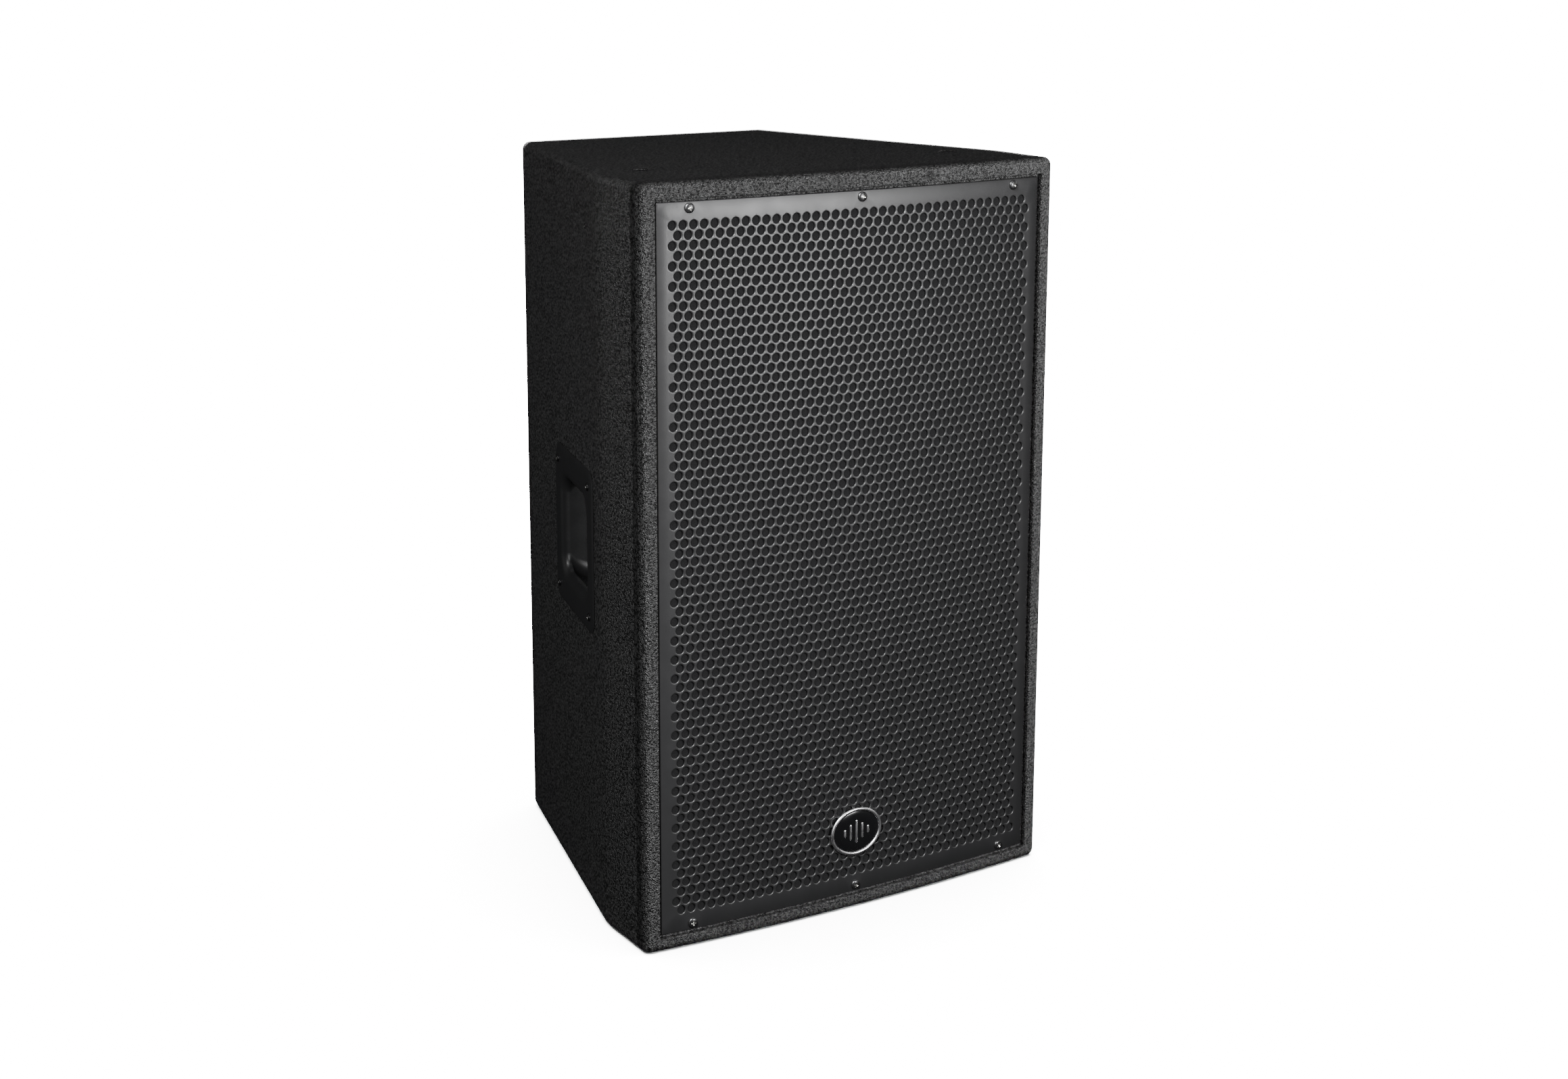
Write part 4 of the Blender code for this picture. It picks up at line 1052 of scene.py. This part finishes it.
def badge():
    """A polished ring round a glossy plate, with a plain motif of five upright bars."""
    low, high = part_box("badge_ring")
    width, height = high.x - low.x, high.z - low.z
    back, front, middle_z = high.y, low.y, (low.z + high.z) / 2

    def oval(inset, y):
        return [(x, y, z + middle_z) for x, z in ellipse(width - 2 * inset, height - 2 * inset)]

    rings = [oval(0.0, back)]
    for angle in np.linspace(0, pi, 9):
        inset = BADGE_RIM * (1 - cos(angle)) / 2
        rings.append(oval(inset, back - 0.0006 - (back - front - 0.0006) * sin(angle)))
    rings.append(oval(BADGE_RIM, back))
    piece("polished_badge_ring", lofted(rings), CHROME, ["badge_ring"], sharp=60)

    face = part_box("badge_plate")[0].y
    inner = BADGE_RIM + GAP
    steps = ((inner, back), (inner, face + 0.0002), (inner + 0.0003, face), (inner + 0.009, face - 0.00012))
    rings = [oval(inset, y) for inset, y in steps]
    piece("glossy_badge_plate", lofted(rings, capped=True), GLOSS, ["badge_plate"], sharp=40)

    for number, (x, tall) in enumerate(zip(BAR_X, BAR_HEIGHTS), start=1):
        rings = []
        for inset, rise in BAR_EDGE:
            wide, radius = BAR_WIDTH - 2 * inset, BAR_WIDTH / 2 - inset - 1e-5
            outline = rounded_rectangle(wide, tall - 2 * inset, radius, 6)
            rings.append([(px + x, face - 0.0001 - rise, pz + middle_z) for px, pz in outline])
        piece(f"badge_bar_{number}", lofted(rings, capped=True), CHROME, sharp=40)


# Rigging points, pole socket and connectors

RIGGING_PLACE = (0.1655, -0.0945)
POLE_Y = -0.020
POLE_FLANGE_RADIUS = 0.050
DISH_Z = 0.330
DISH_PLATE = (0.152, 0.102)
DISH_POCKET = (0.130, 0.080)
DISH_DEPTH = 0.042
DISH_SCREW = (0.0705, 0.0455)
SOCKET_X = 0.032
SOCKET_RADIUS = 0.0125
# (Outline, inset from it, corner radius, height), from behind, round the plate's edge and down the pocket
DISH_EDGE = (
    (DISH_POCKET, 0.0035, 0.0080, -DISH_DEPTH),
    (DISH_POCKET, -0.0025, 0.0095, -0.0350),
    (DISH_POCKET, -0.0025, 0.0095, -0.0028),
    (DISH_PLATE, 0.0, 0.010, -0.0028),
    (DISH_PLATE, 0.0, 0.010, -0.0011),
    (DISH_PLATE, 0.0003, 0.0097, -0.0006),
    (DISH_PLATE, 0.0010, 0.0090, -0.0003),
    (DISH_POCKET, -0.0020, 0.0100, -0.0003),
    (DISH_POCKET, -0.0008, 0.0088, -0.0008),
    (DISH_POCKET, 0.0, 0.0080, -0.0022),
    (DISH_POCKET, 0.0008, 0.0080, -0.0340),
)


def rigging_recess():
    rim = [(0.0093, 0.01), (0.0093, 0.0), (0.0088, -0.0003), (0.0085, -0.0009), (0.0085, -0.0035)]
    return turned([(0.0, 0.01)] + rim + [(0.0055, -0.0035), (0.0055, -0.03), (0.0, -0.03)])


def rigging_matrices(place):
    """Left, then right."""
    x, y = RIGGING_PLACE
    if place == "top":
        return [Matrix.Translation((side * x, y, CABINET_HEIGHT)) for side in (-1, 1)]
    return [Matrix.Translation((side * x, y, 0.0)) @ UPSIDE_DOWN for side in (-1, 1)]


def rigging_screws():
    """Blanking screws with a hexagon socket."""
    head, shank, top, under, end = 0.0078, 0.0048, -0.0006, -0.0032, -0.02
    corners = [(0.0, top), (head, top), (head, under), (shank, under), (shank, end), (0.0, end)]
    hexagon = around(0.0029, np.arange(6) * pi / 3 + 0.3)
    solid = turned(rounded_profile(corners, 0.0006))
    mesh = carved(solid, prism(hexagon, -0.0028, 0.001))
    for place in ("top", "bottom"):
        for side, matrix in zip(("left", "right"), rigging_matrices(place)):
            name = f"{place}_{side}"
            solid = moved(mesh, matrix)
            piece(f"hex_plug_{name}", solid, BLACK_STEEL, [f"rigging_plug_{name}"], sharp=30)


def pole_rebate():
    reach, step, bore = POLE_FLANGE_RADIUS + 0.0005, 0.0031, 0.0210
    outline = [(0.0, -0.01), (reach + 0.0003, -0.01), (reach, 0.0006)]
    outline += [(reach, step), (bore, step), (bore, 0.03), (0.0, 0.03)]
    return moved(turned(outline, 96), Matrix.Translation((0.0, POLE_Y, 0.0)))


def pole_cup():
    """A pressed steel cup with a flange, let into the underside."""
    bore, wall, deep = 0.0179, 0.0026, 0.085
    corners = [(bore + 0.004, GAP), (POLE_FLANGE_RADIUS, GAP), (POLE_FLANGE_RADIUS, GAP + 0.0025)]
    corners += [(bore + wall, GAP + 0.0025), (bore + wall, deep + wall), (0.0, deep + wall), (0.0, deep)]
    corners += [(bore, deep), (bore, 0.005)]
    place = Matrix.Translation((0.0, POLE_Y, 0.0))
    bm = moved(turned(rounded_profile(corners, 0.0008), 96), place)
    flat_shaded(piece("pressed_pole_socket", bm, STEEL, ["pole_socket"], sharp=50))
    spots = [place @ spot for spot in bolt_circle(4, 0.037, GAP)]
    place_screws("pole_socket_screw", cross_screw(0.0038, 0.0002), spots)


def dish_matrix():
    """Local +Z out of the back panel."""
    return Matrix.Translation((0.0, BACK_Y, DISH_Z)) @ Matrix.Rotation(-pi / 2, 4, "X")


def dish_opening():
    rebate = rounded_rectangle(DISH_PLATE[0] + 0.001, DISH_PLATE[1] + 0.001, 0.0105)
    through = rounded_rectangle(DISH_POCKET[0] + 0.007, DISH_POCKET[1] + 0.007, 0.010)
    cuts = (prism(rebate, -0.0031, 0.01), prism(through, -WALL - 0.01, 0.01))
    return [moved(cut, dish_matrix()) for cut in cuts]


def connector_dish():
    """A moulded dish with rolled edges, its four screws, and two sockets in its floor."""
    floor_radius = 0.0055
    steps = list(DISH_EDGE)
    _, inset, radius, z = steps[-1]
    for angle in (30, 60, 90):
        c, s = cos(radians(angle)), sin(radians(angle))
        steps.append((DISH_POCKET, inset + floor_radius * (1 - c), radius, z - floor_radius * s))
    rings = []
    for (width, height), inset, radius, z in steps:
        rings.append(level(rounded_rectangle(width - 2 * inset, height - 2 * inset, radius), z))
    shell = lofted(rings, capped=True)
    holes = []
    for side in (-1, 1):
        reach = SOCKET_RADIUS + 0.0002
        drill = turned([(0.0, -0.06), (reach, -0.06), (reach, -0.03), (0.0, -0.03)])
        holes.append(moved(drill, Matrix.Translation((side * SOCKET_X, 0.0, 0.0))))
    bm = moved(carved(shell, *holes), dish_matrix())
    flat_shaded(piece("moulded_connector_dish", bm, PLASTIC, ["connector_dish"]))

    x, y = DISH_SCREW
    spots = [(sx * x, sy * y, -0.0004) for sx in (-1, 1) for sy in (-1, 1)]
    matrices = [dish_matrix() @ Matrix.Translation(spot) for spot in spots]
    place_screws("dish_screw", cross_screw(0.0030, 0.0012), matrices)
    socket = socket_mesh()
    for name, side in (("input", 1), ("link", -1)):
        solid = moved(socket, dish_matrix() @ Matrix.Translation((side * SOCKET_X, 0.0, 0.0)))
        node = f"speaker_socket_{name}"
        flat_shaded(piece(f"twist_lock_{name}", solid, PLASTIC, [node], sharp=30))


def socket_mesh():
    """A round body with an open ring, two key slots and a slotted centre post."""
    floor = -DISH_DEPTH + 0.0025
    bore, post, body = 0.0105, 0.0035, SOCKET_RADIUS
    rim, top, well, end = floor + 0.0030, floor + 0.0010, floor - 0.0160, floor - 0.0200
    corners = [(bore, rim), (body, rim), (body, end), (0.0, end)]
    corners += [(0.0, top), (post, top), (post, well), (bore, well)]

    def slot(low_x, high_x, half, depth):
        outline = [(low_x, -half), (high_x, -half), (high_x, half), (low_x, half)]
        return prism(outline, floor - depth, 0.0)

    cuts = []
    for turn in (0.0, pi):
        key = slot(0.0098, 0.0116, 0.0017, 0.012)
        cuts.append(moved(key, Matrix.Rotation(turn, 4, "Z")))
    cuts.append(slot(-0.004, 0.004, 0.0006, 0.004))
    return carved(turned(rounded_profile(corners, 0.0005), 64), *cuts)


# Woofer

WOOFER_Z = 0.222
COIL_RADIUS = 0.0381
PLEAT_PITCH = 0.0104
CLOTH_THICKNESS = 0.0006
# Outer and inner radius of the pleats, and the height of their foot
SURROUND = (0.1690, 0.1482, 0.0032)
SPIDER = (0.0940, 0.0420, 0.0830)
CONE_RIM = Vector((0.1490, 0.0042))
CONE_NECK = Vector((0.0389, 0.0640))
CAP_RADIUS = 0.0500


def woofer_matrix():
    """Local +Z back into the cabinet, from the baffle's front face."""
    return Matrix.Translation((0.0, FRAME_BACK_Y + GAP, WOOFER_Z)) @ Matrix.Rotation(-pi / 2, 4, "X")


def flexible_ring(name, node, profile, material, still, moving):
    """A turned cloth ring that is fixed at one radius and follows the cone at the other."""
    bm = turned(profile, 96)
    bm.transform(woofer_matrix())
    mesh = bpy.data.meshes.new(name)
    outward(bm).to_mesh(mesh)
    bm.free()
    obj = link(name, mesh, material, 60)
    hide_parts(node)
    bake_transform(obj, "cabinet", "woofer_moving", (still, 0.0, WOOFER_Z), (moving, 0.0, WOOFER_Z))
    weights = []
    for vertex in mesh.vertices:
        radius = hypot(vertex.co.x, vertex.co.z - WOOFER_Z)
        weights.append(min(1.0, max(0.0, (still - radius) / (still - moving))))
    mesh.attributes["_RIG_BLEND"].data.foreach_set("value", np.array(weights, np.float32))


def pleats(start, end, foot, depth, count):
    """Points of a wave that starts on its foot at one radius and runs to another."""
    points = []
    for radius in np.linspace(start, end, count):
        wave = 0.5 - 0.5 * cos(tau * abs(radius - start) / PLEAT_PITCH)
        points.append((radius, foot - depth * wave))
    return points


def woofer():
    """Pleated surround, ribbed paper cone, domed cap, corrugated spider and eight bolts."""
    outer, inner, foot = SURROUND
    face = [(0.1800, foot)] + pleats(outer, inner, foot, 0.0040, 41)
    cloth = thickened(face, CLOTH_THICKNESS)
    flexible_ring("pleated_surround", "woofer_surround", cloth, CLOTH, outer, 0.1500)

    outer, inner, foot = SPIDER
    face = [(COIL_RADIUS + GAP, foot)] + pleats(inner, outer, foot, 0.0022, 79) + [(0.1005, foot)]
    cloth = thickened(face, CLOTH_THICKNESS)
    flexible_ring("corrugated_spider", "woofer_spider", cloth, AMBER, outer, inner)

    face = []
    for t in np.linspace(0, 1, 49):
        point = CONE_RIM.lerp(CONE_NECK, t)
        rib = 0.00035 * max(0.0, cos(tau * t * 9)) ** 4 if 0.12 < t < 0.75 else 0.0
        face.append((point.x, point.y + 0.006 * sin(pi * t) - rib))
    bm = moved(turned(thickened(face, 0.0014), 96), woofer_matrix())
    piece("ribbed_cone", bm, PAPER, ["woofer_cone"], "woofer_moving", sharp=70)

    face = [(CAP_RADIUS * share, 0.0583 - 0.0130 * (1 - share**2)) for share in np.linspace(0, 1, 15)]
    bm = moved(turned(thickened(face, 0.0010), 96), woofer_matrix())
    piece("domed_cap", bm, PAPER, ["woofer_dust_cap"], "woofer_moving", sharp=70)

    spots = [woofer_matrix() @ spot for spot in bolt_circle(8, 0.1868, 0.0004)]
    place_screws("woofer_bolt", cross_screw(0.0042, 0.0028), spots)


# Solids that keep their shape


def dress_solids():
    """A finished copy of every solid whose shape is right: its material, smooth curves and eased edges."""
    dressed = {
        plain("birch_plywood", (0.50, 0.36, 0.21), 0.6, 0.0, 300, 0.0001): "front_baffle internal_brace",
        FOAM: "grille_foam",
        CLOTH: "woofer_gasket",
        PLASTIC: "horn_flare left_port_tube right_port_tube",
        plain("cast_aluminium", (0.06, 0.06, 0.062), 0.5, 0.4, 700, 0.0002): "woofer_basket hf_rear_cover",
        STEEL: "woofer_front_plate woofer_back_plate hf_yoke hf_gap_plate",
        plain("ferrite", (0.055, 0.055, 0.058), 0.6, grain=1500, depth=0.00008): "woofer_magnet hf_magnet",
        plain("titanium", (0.60, 0.58, 0.55), 0.28, 1.0, spread=0.08): "hf_diaphragm",
        windings(): "woofer_voice_coil low_pass_coil high_pass_coil",
        plain("circuit_board", (0.02, 0.13, 0.055), 0.4, grain=500, spread=0.15): "crossover_board",
        plain("film_capacitor", (0.55, 0.42, 0.05), 0.35, spread=0.06): "crossover_capacitor",
        plain("ceramic_white", (0.74, 0.72, 0.67), 0.7, 0.0, 1200, 0.0001, 0.05): "crossover_resistor",
        wadding(): "damping_wadding",
        plain("lead_insulation", (0.28, 0.02, 0.02), 0.45, spread=0.1): "woofer_lead horn_lead input_lead",
    }
    soft_edges = "grille_foam hf_diaphragm woofer_voice_coil woofer_lead horn_lead input_lead horn_flare"
    riders = {"hf_diaphragm": "hf_moving", "woofer_voice_coil": "woofer_moving"}
    for material, names in dressed.items():
        for name in names.split():
            bm = simplified(moved(NODES[name].data, NODES[name].matrix_world), 0.5)
            body = riders.get(name, "cabinet")
            obj = piece(f"finished_{name}", bm, material, [name], body)
            if name not in soft_edges.split():
                eased = obj.modifiers.new("eased_edges", "BEVEL")
                eased.width = 0.0004
                eased.segments = 2
                eased.limit_method = "ANGLE"
                eased.angle_limit = radians(50)
            flat_shaded(obj)


add_camera()
add_lights()
add_world()
add_floor()
panels()
border()
perforated_sheet()
grille_screws()
badge()
handles()
side_screws()
rigging_screws()
pole_cup()
connector_dish()
woofer()
dress_solids()
add_selective_lights()
